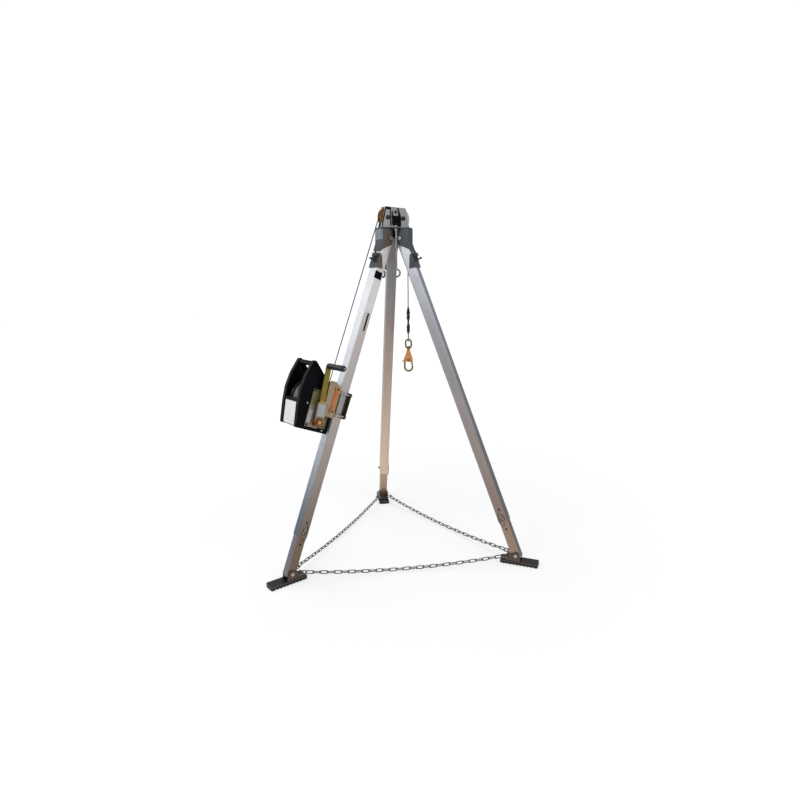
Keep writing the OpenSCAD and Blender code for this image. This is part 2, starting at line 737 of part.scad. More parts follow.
// One unbroken rope, wound as a single outer layer over the core
wind_step = rope_d + 0.55;
wind_loops = floor((2 * drum_half - rope_d - 2) / wind_step);
wind_rings = 24;
function wind_point(k) =
    let (a = 360 * k / wind_rings, y = wind_step * (k / wind_rings - wind_loops / 2))
    [wind_r * cos(a), y, wind_r * sin(a)];
wind_path = [for (k = [0 : wind_loops * wind_rings]) wind_point(k)];
wind_self_gap = min([
    for (k = [0 : 3 : len(wind_path) - wind_rings - 1], j = [-2 : 2])
        let (m = min(k + wind_rings + j, len(wind_path) - 1))
        norm(wind_path[k] - wind_path[m])
]) - rope_d;
echo(least_gap_between_rope_turns_mm = wind_self_gap);
module rope_winding() {
    color("#55585c") at_winch() swept_tube(wind_path, rope_r, 6, [0, 1, 0]);
}

// Crank: a pinion shaft, a brake hub, an arm and a turning grip
arm_y = case_half + 20;
arm_t = 6;
arm_lean = 6.3;
grip_at = crank_at + crank_len * [sin(arm_lean), cos(arm_lean)];
grip_pin_r = 6;
module at_crank() {
    at_winch() translate([crank_at[0], 0, crank_at[1]]) children();
}
module crank_shaft() {
    color("#8b8d90") at_crank() {
        cyl_y(shaft_d / 2, -case_half - 2, arm_y + arm_t + 9);
        translate([0, gear_y + gear_w - 0.5, 0]) rotate([90, 0, 0])
            rotate([0, 0, mesh_angle + 180 + 180 / pinion_teeth])
            linear_extrude(gear_w - 1) polygon(gear_outline(pinion_teeth));
    }
}
module brake_hub() {
    y = case_half + mount_t + 0.5;
    color("#b06a35") at_crank() difference() {
        union() {
            cyl_y(24, y, y + 5);
            cyl_y(17, y + 5, arm_y);
        }
        cyl_y(shaft_d / 2 + 0.02, y - 1, arm_y + 1);
    }
    cap = arm_y + arm_t;
    color("#b06a35") at_crank() difference() {
        union() {
            cyl_y(21, cap, cap + 3);
            cyl_y(13, cap + 3, cap + 8);
        }
        cyl_y(shaft_d / 2 + 0.02, cap - 1, cap + 9);
    }
}
module crank_arm() {
    half = 13;
    pin_end = arm_y + arm_t + 1 + grip_len;
    color("#8f7f3a") at_crank() rotate([0, arm_lean, 0]) difference() {
        union() {
            cyl_y(17, arm_y, arm_y + arm_t);
            prism_y([[-26, 0], [20, 0], [20, 84], [half, 94], [half, crank_len], [-half, crank_len],
                [-half, 94], [-26, 84]], arm_y, arm_y + arm_t);
            translate([0, 0, crank_len]) {
                cyl_y(half, arm_y, arm_y + arm_t);
                cyl_y(grip_pin_r, arm_y, pin_end + 4);
                cyl_y(9, pin_end + 0.5, pin_end + 4);
            }
        }
        cyl_y(shaft_d / 2 + 0.02, arm_y - 1, arm_y + arm_t + 1);
    }
}
module crank_grip() {
    y = arm_y + arm_t + 0.5;
    round_r = 4;
    color("#1d1f22") at_winch() translate([grip_at[0], y, grip_at[1]]) rotate([-90, 0, 0])
        rotate_extrude() polygon([
            [grip_pin_r + run_gap, 0], [grip_r - round_r, 0], [grip_r - 0.3 * round_r, 0.3 * round_r],
            [grip_r, round_r], [grip_r - 1, grip_len / 2], [grip_r, grip_len - round_r],
            [grip_r - 0.3 * round_r, grip_len - 0.3 * round_r], [grip_r - round_r, grip_len],
            [grip_pin_r + run_gap, grip_len]
        ]);
}

// Load rope: drum to head, over both sheaves, and down to the black sleeve
rope_start = 26;
rope_low = leg_point(drum_out - wind_r, -drum_drop + rope_start);
sheave_mid = [sheave_in, sheave_z];
rope_span = norm(rope_low - sheave_mid);
rope_angle = atan2(rope_low[1] - sheave_mid[1], rope_low[0] - sheave_mid[0])
    + acos(sheave_pitch_r / rope_span);
rope_high = sheave_mid + sheave_pitch_r * [cos(rope_angle), sin(rope_angle)];
module rope_to_head() {
    run = rope_high - rope_low;
    color("#4a4d50") translate([axis_x - rope_low[0], 0, rope_low[1]])
        rotate([0, -atan2(run[0], run[1]), 0]) cylinder(r = rope_r, h = norm(run) - rope_clear, $fn = 24);
}
module rope_over_head() {
    arc_step = 10;
    first = [for (a = [180 - rope_angle : -arc_step : 90 + arc_step / 2])
        [-sheave_in + sheave_pitch_r * cos(a), 0, sheave_z + sheave_pitch_r * sin(a)]];
    second = [for (a = [90 : -arc_step : arc_step / 2])
        [sheave_out + sheave_pitch_r * cos(a), 0, sheave_z + sheave_pitch_r * sin(a)]];
    top = [[-sheave_in, 0, sheave_z + sheave_pitch_r]];
    hang = [for (k = [0 : 8]) [hang_x, 0, sheave_z + (sleeve_top - sheave_z) * k / 8]];
    color("#4a4d50") translate([axis_x, 0, 0])
        swept_tube(concat(first, top, second, hang), rope_r, 8, [0, 1, 0]);
}

// Hook: black sleeve, thimble, swivel eye and self-locking snap hook
sleeve_len = 126;
sleeve_low = sleeve_top - sleeve_len;
thimble_low = sleeve_low - 50;
eye_wire = 4.5;
eye_half = 14.5;
eye_top = thimble_low + 16.5;
eye_low = eye_top - 54;
hook_top = eye_low - 4;
hook_half = 20;
hook_mid = hook_top - 90;
module on_line(turned = true) {
    translate([axis_x + hang_x, 0, 0]) rotate([0, 0, turned ? hook_turn : 0]) children();
}
module rope_ferrule() {
    color("#141516") on_line(false) rotate_extrude() polygon([
        [0, sleeve_low], [6, sleeve_low], [8.5, sleeve_low + 4], [8, sleeve_low + 14], [9, sleeve_low + 26],
        [7.5, sleeve_low + 36], [5, sleeve_low + 42], [5, sleeve_low + 60], [7.5, sleeve_low + 68],
        [9.5, sleeve_low + 78], [7, sleeve_low + 86], [9.5, sleeve_low + 96], [8, sleeve_low + 106],
        [4.5, sleeve_top], [0, sleeve_top]
    ]);
}
module thimble() {
    bar = 3.5;
    half = 9;
    long = sleeve_low - thimble_low;
    low_mid = thimble_low + bar + half;
    color("#9b9da0") on_line() rotate([0, 0, 90]) union() {
        translate([0, 0, low_mid]) bar_ring_y(half, bar, 180, 180);
        for (s = [-1, 1]) translate([s * half, 0, low_mid])
            rotate([0, -s * atan(half / (long - 2 * bar - half)), 0])
            cylinder(r = bar, h = long - 2 * bar - half - 1, $fn = 24);
        translate([0, 0, sleeve_low - 9]) cylinder(r = 6, h = 9, $fn = 24);
    }
}
module swivel_eye() {
    high = eye_top - eye_wire - eye_half;
    low = eye_low + eye_wire + eye_half;
    color("#a8853f") on_line() difference() {
        union() {
            translate([0, 0, high]) bar_ring_y(eye_half, eye_wire, 180, 0);
            translate([0, 0, low]) bar_ring_y(eye_half, eye_wire, 180, 180);
            for (s = [-1, 1]) translate([s * eye_half, 0, low - 0.01])
                cylinder(r = eye_wire, h = high - low + 0.02, $fn = 24);
            translate([0, 0, eye_low - 2]) cylinder(r = 9, h = 13);
        }
        translate([0, 0, eye_low - 3]) cylinder(r = 5 + run_gap, h = 15);
    }
}
gate_x = 15;
gate_z = hook_top - 58;
nose_h = 6;
// The gate's corner dips as it swings in, so it stops this far above the nose
gate_low = hook_mid + nose_h + 2;
module hook_body() {
    bar = hook_bar / 2;
    color("#b98d45") on_line() difference() {
        union() {
            translate([0, 0, hook_top - 16]) cylinder(r = 5, h = 16 + 15.5);
            translate([0, 0, eye_low + 12.1]) cylinder(r = 6.4, h = 4.4);
            prism_y([[-8, hook_top], [8, hook_top], [14, hook_top - 22], [22, hook_top - 46], [22, gate_z - 6],
                [8, gate_z - 6], [-12, gate_z - 2], [-hook_half + bar, gate_z - 12],
                [-hook_half - bar, gate_z - 12], [-hook_half - bar, hook_top - 46], [-14, hook_top - 22]], -7, 7);
            translate([-hook_half, 0, hook_mid]) cylinder(r = bar, h = gate_z - 12 - hook_mid, $fn = 32);
            translate([0, 0, hook_mid]) bar_ring_y(hook_half, bar, 180, 180);
            translate([hook_half, 0, hook_mid]) cylinder(r = bar, h = nose_h, $fn = 32);
        }
        box([gate_x - 9, -4.5, gate_z - 7], [30, 4.5, hook_top - 40]);
        translate([gate_x, 0, gate_z]) cyl_y(2.5, -8, 8);
        box([-30, -4.5, gate_z - 6], [-13, 4.5, hook_top - 34]);
        translate([-17, 0, hook_top - 44]) cyl_y(2, -8, 8);
    }
}
module hook_gate() {
    color("#c79a50") on_line() union() {
        translate([gate_x, 0, gate_z]) {
            cyl_y(4.5, -4, 4);
            cyl_y(2.5 - run_gap, -7, 7);
        }
        prism_y([[gate_x - 4.5, gate_z], [gate_x + 4.5, gate_z], [hook_half + 4, gate_low],
            [hook_half - 4, gate_low]], -4, 4);
    }
}
module hook_lock() {
    color("#b5713a") on_line() union() {
        translate([-17, 0, hook_top - 44]) {
            cyl_y(4, -4, 4);
            cyl_y(2 - run_gap, -7, 7);
        }
        prism_y([[-21, hook_top - 40], [-17, hook_top - 40], [-15, hook_top - 62], [-34, hook_top - 60],
            [-34, hook_top - 56], [-22, hook_top - 54]], -4, 4);
    }
}

module outer_tube_winch() { outer_tube(az_winch); }
module outer_tube_right() { outer_tube(az_right); }
module outer_tube_back() { outer_tube(az_back); }
module inner_tube_winch() { inner_tube(az_winch); }
module inner_tube_right() { inner_tube(az_right); }
module inner_tube_back() { inner_tube(az_back); }
module lock_clip_winch() { lock_clip(az_winch); }
module lock_clip_right() { lock_clip(az_right); }
module lock_clip_back() { lock_clip(az_back); }
module lock_bolt_winch() { lock_bolt(az_winch); }
module lock_bolt_right() { lock_bolt(az_right); }
module lock_bolt_back() { lock_bolt(az_back); }
module leg_pin_winch() { leg_pin(az_winch); }
module leg_pin_right() { leg_pin(az_right); }
module leg_pin_back() { leg_pin(az_back); }
module pin_lanyard_winch() { pin_lanyard(az_winch); }
module pin_lanyard_right() { pin_lanyard(az_right); }
module pin_lanyard_back() { pin_lanyard(az_back); }
module foot_shoe_winch() { foot_shoe(az_winch); }
module foot_shoe_right() { foot_shoe(az_right); }
module foot_shoe_back() { foot_shoe(az_back); }
module foot_sole_winch() { foot_sole(az_winch); }
module foot_sole_right() { foot_sole(az_right); }
module foot_sole_back() { foot_sole(az_back); }
module chain_front() { chain(az_winch, az_right); }
module chain_right() { chain(az_right, az_back); }
module chain_rear() { chain(az_back, az_winch); }

head_plate();
leg_brackets();
leg_pivot_bolts();
cheek_plates();
sheave_axles();
eyebolts();
rope_over_head();
sheave_winch_side();
sheave_load_side();
outer_tube_winch();
outer_tube_right();
outer_tube_back();
inner_tube_winch();
inner_tube_right();
inner_tube_back();
lock_clip_winch();
lock_clip_right();
lock_clip_back();
lock_bolt_winch();
lock_bolt_right();
lock_bolt_back();
leg_pin_winch();
leg_pin_right();
leg_pin_back();
pin_lanyard_winch();
pin_lanyard_right();
pin_lanyard_back();
foot_shoe_winch();
foot_shoe_right();
foot_shoe_back();
foot_sole_winch();
foot_sole_right();
foot_sole_back();
chain_front();
chain_right();
chain_rear();
winch_case_near();
winch_case_far();
carry_handle();
front_cover();
gear_plate();
winch_bracket();
clamp_plate();
clamp_studs();
clamp_strap();
winch_drum();
drum_gear();
rope_winding();
drum_axle();
crank_shaft();
brake_hub();
crank_arm();
crank_grip();
rope_to_head();
rope_ferrule();
thimble();
swivel_eye();
hook_body();
hook_gate();
hook_lock();
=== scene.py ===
# %% [markdown]
# # A rescue tripod, dressed in Blender
# The imported model gives every solid piece its true place, in metres, with +Z up and the floor at zero.
# This script adds what a solid model leaves out: rounded edges, wire rope with strands, chain cut into
# stretches of whole links, fasteners, and finishes that are worked out from noise on Object coordinates.

import json
import math

import bmesh
import bpy
import numpy as np
from mathutils import Matrix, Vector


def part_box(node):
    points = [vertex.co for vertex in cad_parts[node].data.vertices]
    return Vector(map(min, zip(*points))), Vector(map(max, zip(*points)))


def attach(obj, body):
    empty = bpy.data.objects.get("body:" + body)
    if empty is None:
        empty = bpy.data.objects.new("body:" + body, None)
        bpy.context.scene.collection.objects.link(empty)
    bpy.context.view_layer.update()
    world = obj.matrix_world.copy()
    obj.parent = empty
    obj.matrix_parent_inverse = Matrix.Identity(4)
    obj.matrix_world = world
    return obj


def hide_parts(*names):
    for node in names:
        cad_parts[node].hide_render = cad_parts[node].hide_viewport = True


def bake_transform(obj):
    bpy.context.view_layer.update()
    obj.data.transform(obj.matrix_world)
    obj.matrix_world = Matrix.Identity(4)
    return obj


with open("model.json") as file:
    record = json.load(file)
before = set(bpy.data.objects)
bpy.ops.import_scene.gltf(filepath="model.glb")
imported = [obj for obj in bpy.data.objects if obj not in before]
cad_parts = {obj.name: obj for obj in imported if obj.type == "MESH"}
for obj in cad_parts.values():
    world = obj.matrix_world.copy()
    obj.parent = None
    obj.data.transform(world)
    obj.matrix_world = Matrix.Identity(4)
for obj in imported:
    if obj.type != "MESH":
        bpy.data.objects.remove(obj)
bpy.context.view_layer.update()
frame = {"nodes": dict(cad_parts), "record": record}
record = frame["record"]
body_of_node = {
    node: body for body, nodes in record["behaviour"]["bodies"].items() for node in nodes
}
joint_of = {joint["name"]: joint for joint in record["behaviour"]["joints"]}

# %% [markdown]
# ## Where things are
# Everything is placed from the joints in the record. The three head pivots give the tripod's middle, and
# a leg's own axes come from its pivot: outwards, sideways (the hinge axis) and up along the tube.

# %% Axes of the legs
MM = 0.001
UP = np.array([0.0, 0.0, 1.0])
LEGS = ("winch", "right", "back")
pivot_of = {leg: np.array(joint_of[f"leg_{leg}_fold"]["pos_m"]) for leg in LEGS}
tripod_middle = np.mean([pivot_of[leg] for leg in LEGS], axis=0) * [1, 1, 0]


def leg_axes(leg):
    """Unit vectors of a leg: outwards and square to the tube, sideways along the hinge, up the tube."""
    side = np.array(joint_of[f"leg_{leg}_fold"]["axis"])
    up = -np.array(joint_of[f"leg_{leg}_extend"]["axis"])
    return np.cross(side, up), side, up


def on_leg(leg, out, side, up):
    """A point given in millimetres along a leg's own axes, measured from its head pivot."""
    a, b, c = leg_axes(leg)
    return pivot_of[leg] + MM * (
        np.multiply.outer(out, a) + np.multiply.outer(side, b) + np.multiply.outer(up, c)
    )


drum_axis = np.array(joint_of["drum_turn"]["pos_m"])
load_axis = np.array(joint_of["hook_swivel"]["pos_m"])
leg_out, leg_side, leg_up = leg_axes("winch")
crank_axis, grip_axis = (np.array(joint_of[name]["pos_m"]) for name in ("crank_turn", "grip_spin"))
arm_up = (grip_axis - crank_axis) * [1, 0, 1]
arm_up /= np.linalg.norm(arm_up)
arm_out = np.cross(leg_side, arm_up)


def at_winch(out, side, up):
    """A point in millimetres from the drum axis: outwards, sideways, up along the winch leg."""
    return drum_axis + MM * (out * leg_out + side * leg_side + up * leg_up)


print("tripod middle", tripod_middle, "drum axis", drum_axis)

# %% [markdown]
# ## Camera
# The photograph was taken from in front of the winch leg and a little to its right, from about 1.3 m
# above the floor. The lens and the place were found by fitting the legs' edges, feet and head in the
# picture.

# %% Camera
PHOTO_PX = 800
FOCAL_PX = 548.6
SENSOR_MM = 36.0
CAMERA_FROM_MIDDLE = np.array([-1.7162, -2.2023, 1.3378])
PITCH_DOWN, YAW, ROLL = np.radians([11.040, -0.489, -0.576])
HEADING = math.radians(-37.928)


def camera_axes():
    """Right, up and forward of the camera: yaw and pitch first, then roll, then the turn to the part."""
    flat_right = np.array([math.cos(YAW), math.sin(YAW), 0])
    flat_ahead = np.array([-math.sin(YAW), math.cos(YAW), 0])
    ahead = flat_ahead * math.cos(PITCH_DOWN) - UP * math.sin(PITCH_DOWN)
    above = flat_ahead * math.sin(PITCH_DOWN) + UP * math.cos(PITCH_DOWN)
    right = math.cos(ROLL) * flat_right + math.sin(ROLL) * above
    above = math.cos(ROLL) * above - math.sin(ROLL) * flat_right
    c, s = math.cos(HEADING), math.sin(HEADING)
    turn = np.array([[c, -s, 0], [s, c, 0], [0, 0, 1]])
    return turn @ right, turn @ above, turn @ ahead


scene = bpy.context.scene
camera_data = bpy.data.cameras.new("photo_camera")
camera_data.sensor_width = SENSOR_MM
camera_data.lens = FOCAL_PX / PHOTO_PX * SENSOR_MM
camera = bpy.data.objects.new("photo_camera", camera_data)
scene.collection.objects.link(camera)
cam_right, cam_up, cam_ahead = camera_axes()
placement = np.eye(4)
placement[:3, 0], placement[:3, 1], placement[:3, 2] = cam_right, cam_up, -cam_ahead
placement[:3, 3] = tripod_middle + CAMERA_FROM_MIDDLE
camera.matrix_world = Matrix(placement.tolist())
scene.camera = camera
scene.view_settings.view_transform = "Standard"
print("camera at", placement[:3, 3])

# %% [markdown]
# ## Floor and light
# A catalogue picture has no room in it. A wide pale floor takes the shadow, and to the camera it glows
# more the farther it lies from the tripod, so that it ends in white. To the camera alone it is also half
# clear, because a leg that folds or slides out reaches below it, and its foot should still be seen. The
# world is soft and about half as bright on the right as on the left, and large lamps give each square
# tube a bright and a dim side.

# %% Floor, world and lamps


def new_object(name, mesh):
    """Puts a mesh into the scene as an object at the origin."""
    obj = bpy.data.objects.new(name, mesh)
    scene.collection.objects.link(obj)
    return obj


def node_tree(owner):
    """The empty node tree of a material or world."""
    owner.use_nodes = True
    owner.node_tree.nodes.clear()
    return owner.node_tree


def add_node(tree, kind, **values):
    """Adds a shader node, setting its properties by name."""
    made = tree.nodes.new(kind)
    for key, value in values.items():
        setattr(made, key, value)
    return made


def feed(tree, socket, value):
    """Gives an input socket a number of its own, or links another socket to it."""
    if isinstance(value, (int, float)):
        socket.default_value = value
    else:
        tree.links.new(value, socket)


def calc(tree, operation, *operands, clamp=False):
    """The result of a math node; each operand is a socket or a number."""
    made = add_node(tree, "ShaderNodeMath", operation=operation, use_clamp=clamp)
    for slot, value in enumerate(operands):
        feed(tree, made.inputs[slot], value)
    return made.outputs[0]


def ranged(tree, value, low, high, to_low=0.0, to_high=1.0):
    """The result of a Map Range node, which takes low and high to two other levels."""
    made = add_node(tree, "ShaderNodeMapRange")
    sockets = ("Value", "From Min", "From Max", "To Min", "To Max")
    for socket, level in zip(sockets, (value, low, high, to_low, to_high)):
        feed(tree, made.inputs[socket], level)
    return made.outputs[0]


FLOOR_HALF, FLOOR_SINK = 30.0, 0.0002
FLOOR_COLOR = (0.855, 0.845, 0.825, 1)
FLOOR_CLEAR = 0.5
GLOW_NEAR, GLOW_FAR, GLOW_TO_METAL = 0.20, 0.72, 0.16
GLOW_REACH = (1.0, 5.0)
floor_mesh = bpy.data.meshes.new("floor")
corners = FLOOR_HALF * np.array([[-1, -1, 0], [1, -1, 0], [1, 1, 0], [-1, 1, 0]])
floor_mesh.from_pydata((corners - [0, 0, FLOOR_SINK]).tolist(), [], [[0, 1, 2, 3]])
floor = new_object("floor", floor_mesh)
floor_finish = bpy.data.materials.new("pale_floor")
tree = node_tree(floor_finish)
seen_by = add_node(tree, "ShaderNodeLightPath").outputs
distance = add_node(tree, "ShaderNodeVectorMath", operation="LENGTH")
tree.links.new(add_node(tree, "ShaderNodeTexCoord").outputs["Object"], distance.inputs[0])
for_camera = ranged(tree, distance.outputs["Value"], *GLOW_REACH, GLOW_NEAR, GLOW_FAR)
for_metal = calc(tree, "MULTIPLY", seen_by["Is Glossy Ray"], GLOW_TO_METAL)
glow_strength = calc(tree, "MULTIPLY_ADD", seen_by["Is Camera Ray"], for_camera, for_metal)
floor_diffuse = add_node(tree, "ShaderNodeBsdfDiffuse")
floor_diffuse.inputs["Color"].default_value = FLOOR_COLOR
floor_glow = add_node(tree, "ShaderNodeEmission")
floor_glow.inputs["Color"].default_value = (1, 1, 1, 1)
tree.links.new(glow_strength, floor_glow.inputs["Strength"])
both = add_node(tree, "ShaderNodeAddShader")
tree.links.new(floor_diffuse.outputs[0], both.inputs[0])
tree.links.new(floor_glow.outputs[0], both.inputs[1])
veil = add_node(tree, "ShaderNodeMixShader")
tree.links.new(calc(tree, "MULTIPLY", seen_by["Is Camera Ray"], FLOOR_CLEAR), veil.inputs[0])
tree.links.new(both.outputs[0], veil.inputs[1])
tree.links.new(add_node(tree, "ShaderNodeBsdfTransparent").outputs[0], veil.inputs[2])
tree.links.new(veil.outputs[0], add_node(tree, "ShaderNodeOutputMaterial").inputs["Surface"])
floor_mesh.materials.append(floor_finish)

SKY_COLOR = (0.97, 0.98, 1.0, 1)
LEFT_LEVEL, RIGHT_LEVEL, CAMERA_LEVEL, METAL_SHARE = 0.62, 0.32, 1.05, 0.25
world = bpy.data.worlds.new("soft_white")
scene.world = world
tree = node_tree(world)
direction = add_node(tree, "ShaderNodeSeparateXYZ")
tree.links.new(add_node(tree, "ShaderNodeTexCoord").outputs["Generated"], direction.inputs[0])
soft_side = ranged(tree, direction.outputs["X"], -1, 1, LEFT_LEVEL, RIGHT_LEVEL)
seen_by = add_node(tree, "ShaderNodeLightPath").outputs
seen = calc(tree, "MULTIPLY_ADD", seen_by["Is Glossy Ray"], METAL_SHARE, seen_by["Is Camera Ray"],
            clamp=True)
sky_strength = add_node(tree, "ShaderNodeMix", data_type="FLOAT")
for slot, value in ((0, seen), (2, soft_side), (3, CAMERA_LEVEL)):
    feed(tree, sky_strength.inputs[slot], value)
sky = add_node(tree, "ShaderNodeBackground")
sky.inputs["Color"].default_value = SKY_COLOR
tree.links.new(sky_strength.outputs[0], sky.inputs["Strength"])
tree.links.new(sky.outputs[0], add_node(tree, "ShaderNodeOutputWorld").inputs["Surface"])


def area_lamp(name, place, target, size, watts, color):
    """A square lamp that faces a point."""
    data = bpy.data.lights.new(name, "AREA")
    data.size = size
    data.energy = watts
    data.color = color
    lamp = bpy.data.objects.new(name, data)
    scene.collection.objects.link(lamp)
    away = np.array(place, float) - np.array(target, float)
    away /= np.linalg.norm(away)
    across = np.cross(UP, away)
    across /= np.linalg.norm(across)
    placed = np.eye(4)
    placed[:3, 0], placed[:3, 1], placed[:3, 2] = across, np.cross(away, across), away
    placed[:3, 3] = place
    lamp.matrix_world = Matrix(placed.tolist())


LAMP_AIM = (0.1, 0, 0.9)
area_lamp("left_lamp", (-3.6, -1.2, 2.8), LAMP_AIM, 2.2, 48, (1.0, 0.98, 0.95))
area_lamp("front_lamp", (0.4, -4.2, 2.9), LAMP_AIM, 2.6, 44, (1.0, 1.0, 1.0))
area_lamp("top_lamp", (0.3, 0.6, 4.2), LAMP_AIM, 2.4, 40, (1.0, 1.0, 1.0))
area_lamp("back_left_lamp", (-2.7, 3.4, 2.2), LAMP_AIM, 3.0, 36, (0.96, 0.98, 1.0))

# %% [markdown]
# ## Two effects that the finishes share
# Paint, zinc and plastic all need slow blotches of colour, a fine grain and dust that gathers low down,
# so one node group makes those; on the drawn tubes the same low colour is a painted reflection of the
# floor. Drawn tube and brushed plate need long streaks that run one way, so a second group stretches
# noise along its own X axis. Each material turns the coordinates first.

# %% Shader node groups


def group_sockets(group, inputs, outputs):
    """Makes a group's named sockets, with the inputs' starting values."""
    for name, kind, value in inputs:
        socket = group.interface.new_socket(name, in_out="INPUT", socket_type=kind)
        if value is not None:
            socket.default_value = value
    for name, kind in outputs:
        group.interface.new_socket(name, in_out="OUTPUT", socket_type=kind)
    return group.nodes.new("NodeGroupInput"), group.nodes.new("NodeGroupOutput")


def noise(tree, vector, scale_from, detail, roughness=0.55):
    """A noise texture whose scale comes from a socket."""
    made = add_node(tree, "ShaderNodeTexNoise")
    made.inputs["Detail"].default_value = detail
    made.inputs["Roughness"].default_value = roughness
    tree.links.new(vector, made.inputs["Vector"])
    tree.links.new(scale_from, made.inputs["Scale"])
    return made.outputs[0]


def mixed(tree, factor, first, second):
    """A colour mix of two sockets by a third."""
    made = add_node(tree, "ShaderNodeMix", data_type="RGBA")
    tree.links.new(factor, made.inputs["Factor"])
    tree.links.new(first, made.inputs["A"])
    tree.links.new(second, made.inputs["B"])
    return made.outputs["Result"]


COLOR, FLOAT, VECTOR = "NodeSocketColor", "NodeSocketFloat", "NodeSocketVector"
# Noise levels between which a blotch and a streak fade in
BLOTCH_LEVELS, STREAK_LEVELS = (0.38, 0.68), (0.36, 0.64)
SPECKLE_LIFT = 0.4
FINE_SHARE, COARSE_SHARE, COARSE_SCALE = 0.6, 0.4, 0.17


def blotch_and_grain_group():
    """Colour = base mixed with a tint by slow noise, then by height with a low colour: dust on the feet, a
    painted floor reflection on the tubes; height = fine noise.
    """
    group = bpy.data.node_groups.new("blotch_and_grain", "ShaderNodeTree")
    given, put = group_sockets(
        group,
        [
            ("Vector", VECTOR, None),
            ("Base", COLOR, (0.5, 0.5, 0.5, 1)),
            ("Tint", COLOR, (0.4, 0.4, 0.4, 1)),
            ("Dust", COLOR, (0.4, 0.36, 0.3, 1)),
            ("Blotch Scale", FLOAT, 14.0),
            ("Grain Scale", FLOAT, 900.0),
            ("Blotch", FLOAT, 0.6),
            ("Dust Top", FLOAT, 0.05),
            ("Dust Amount", FLOAT, 0.0),
            ("Rough Low", FLOAT, 0.35),
            ("Rough High", FLOAT, 0.55),
        ],
        [("Color", COLOR), ("Roughness", FLOAT), ("Height", FLOAT)],
    )
    slow = noise(group, given.outputs["Vector"], given.outputs["Blotch Scale"], detail=4)
    fine = noise(group, given.outputs["Vector"], given.outputs["Grain Scale"], detail=3)
    patch = ranged(group, slow, *BLOTCH_LEVELS)
    amount = calc(group, "MULTIPLY", patch, given.outputs["Blotch"], clamp=True)
    color = mixed(group, amount, given.outputs["Base"], given.outputs["Tint"])
    # The low colour below is real dust on the feet and, on the tubes, a painted reflection of the floor
    apart = add_node(group, "ShaderNodeSeparateXYZ")
    group.links.new(given.outputs["Vector"], apart.inputs[0])
    low = calc(group, "DIVIDE", apart.outputs["Z"], given.outputs["Dust Top"])
    low = calc(group, "SUBTRACT", 1.0, low, clamp=True)
    low = calc(group, "MULTIPLY", low, given.outputs["Dust Amount"])
    speckled = calc(group, "MULTIPLY", low, calc(group, "ADD", fine, SPECKLE_LIFT), clamp=True)
    color = mixed(group, speckled, color, given.outputs["Dust"])
    group.links.new(color, put.inputs["Color"])
    rough = ranged(group, slow, 0, 1, given.outputs["Rough Low"], given.outputs["Rough High"])
    group.links.new(rough, put.inputs["Roughness"])
    group.links.new(fine, put.inputs["Height"])
    return group


def drawn_streaks_group():
    """Mask and height from noise that is squeezed across and stretched along the local X axis."""
    group = bpy.data.node_groups.new("drawn_streaks", "ShaderNodeTree")
    given, put = group_sockets(
        group,
        [("Vector", VECTOR, None), ("Fineness", FLOAT, 700.0), ("Length", FLOAT, 0.012)],
        [("Mask", FLOAT), ("Height", FLOAT)],
    )
    squeeze = add_node(group, "ShaderNodeCombineXYZ")
    for axis, factor in (("X", given.outputs["Length"]), ("Y", 1.0), ("Z", 1.0)):
        feed(group, squeeze.inputs[axis], factor)
    scaled = add_node(group, "ShaderNodeVectorMath", operation="MULTIPLY")
    group.links.new(given.outputs["Vector"], scaled.inputs[0])
    group.links.new(squeeze.outputs[0], scaled.inputs[1])
    fine = noise(group, scaled.outputs[0], given.outputs["Fineness"], detail=3, roughness=0.6)
    coarse_scale = calc(group, "MULTIPLY", given.outputs["Fineness"], COARSE_SCALE)
    coarse = noise(group, scaled.outputs[0], coarse_scale, detail=2, roughness=0.5)
    total = calc(group, "ADD", calc(group, "MULTIPLY", fine, FINE_SHARE),
                 calc(group, "MULTIPLY", coarse, COARSE_SHARE))
    group.links.new(ranged(group, total, *STREAK_LEVELS), put.inputs["Mask"])
    group.links.new(total, put.inputs["Height"])
    return group


blotch_and_grain = blotch_and_grain_group()
drawn_streaks = drawn_streaks_group()
print("node groups:", [group.name for group in bpy.data.node_groups])

# %% [markdown]
# ## The finishes
# Each finish is one Principled shader fed by the groups. Metals keep a high Metallic and take their
# colour from the base; plastics and rubber have none. Numbers that are the same all over stay on the
# shader's own sockets.

# %% Finishes


GRAIN_DEPTH, STREAK_DEPTH = 0.0004, 0.0002
DRAWN_METALLIC, STREAK_BUMP, STREAK_VALUE = 0.82, 0.25, 0.86
ROUGH_SPREAD = 0.14


def rgba(color):
    """A colour with full cover."""
    return (*color, 1.0)


def place_group(tree, group, vector, **values):
    """A group node fed by a vector, with its other inputs set by name (underscores for spaces)."""
    made = add_node(tree, "ShaderNodeGroup", node_tree=group)
    tree.links.new(vector, made.inputs["Vector"])
    for key, value in values.items():
        name = key.replace("_", " ").title()
        made.inputs[name].default_value = rgba(value) if isinstance(value, tuple) else value
    return made


def finish_shell(name, metallic):
    """A material with a Principled shader, an output and Object coordinates."""
    made = bpy.data.materials.new(name)
    tree = node_tree(made)
    shader = add_node(tree, "ShaderNodeBsdfPrincipled")
    shader.inputs["Metallic"].default_value = metallic
    out = add_node(tree, "ShaderNodeOutputMaterial")
    tree.links.new(shader.outputs[0], out.inputs["Surface"])
    where = add_node(tree, "ShaderNodeTexCoord").outputs["Object"]
    return made, tree, shader, where


def bumped(tree, shader, height, strength, distance):
    """Feeds a height to the shader's normal through a Bump node."""
    bump = add_node(tree, "ShaderNodeBump")
    bump.inputs["Strength"].default_value = strength
    bump.inputs["Distance"].default_value = distance
    tree.links.new(height, bump.inputs["Height"])
    tree.links.new(bump.outputs[0], shader.inputs["Normal"])


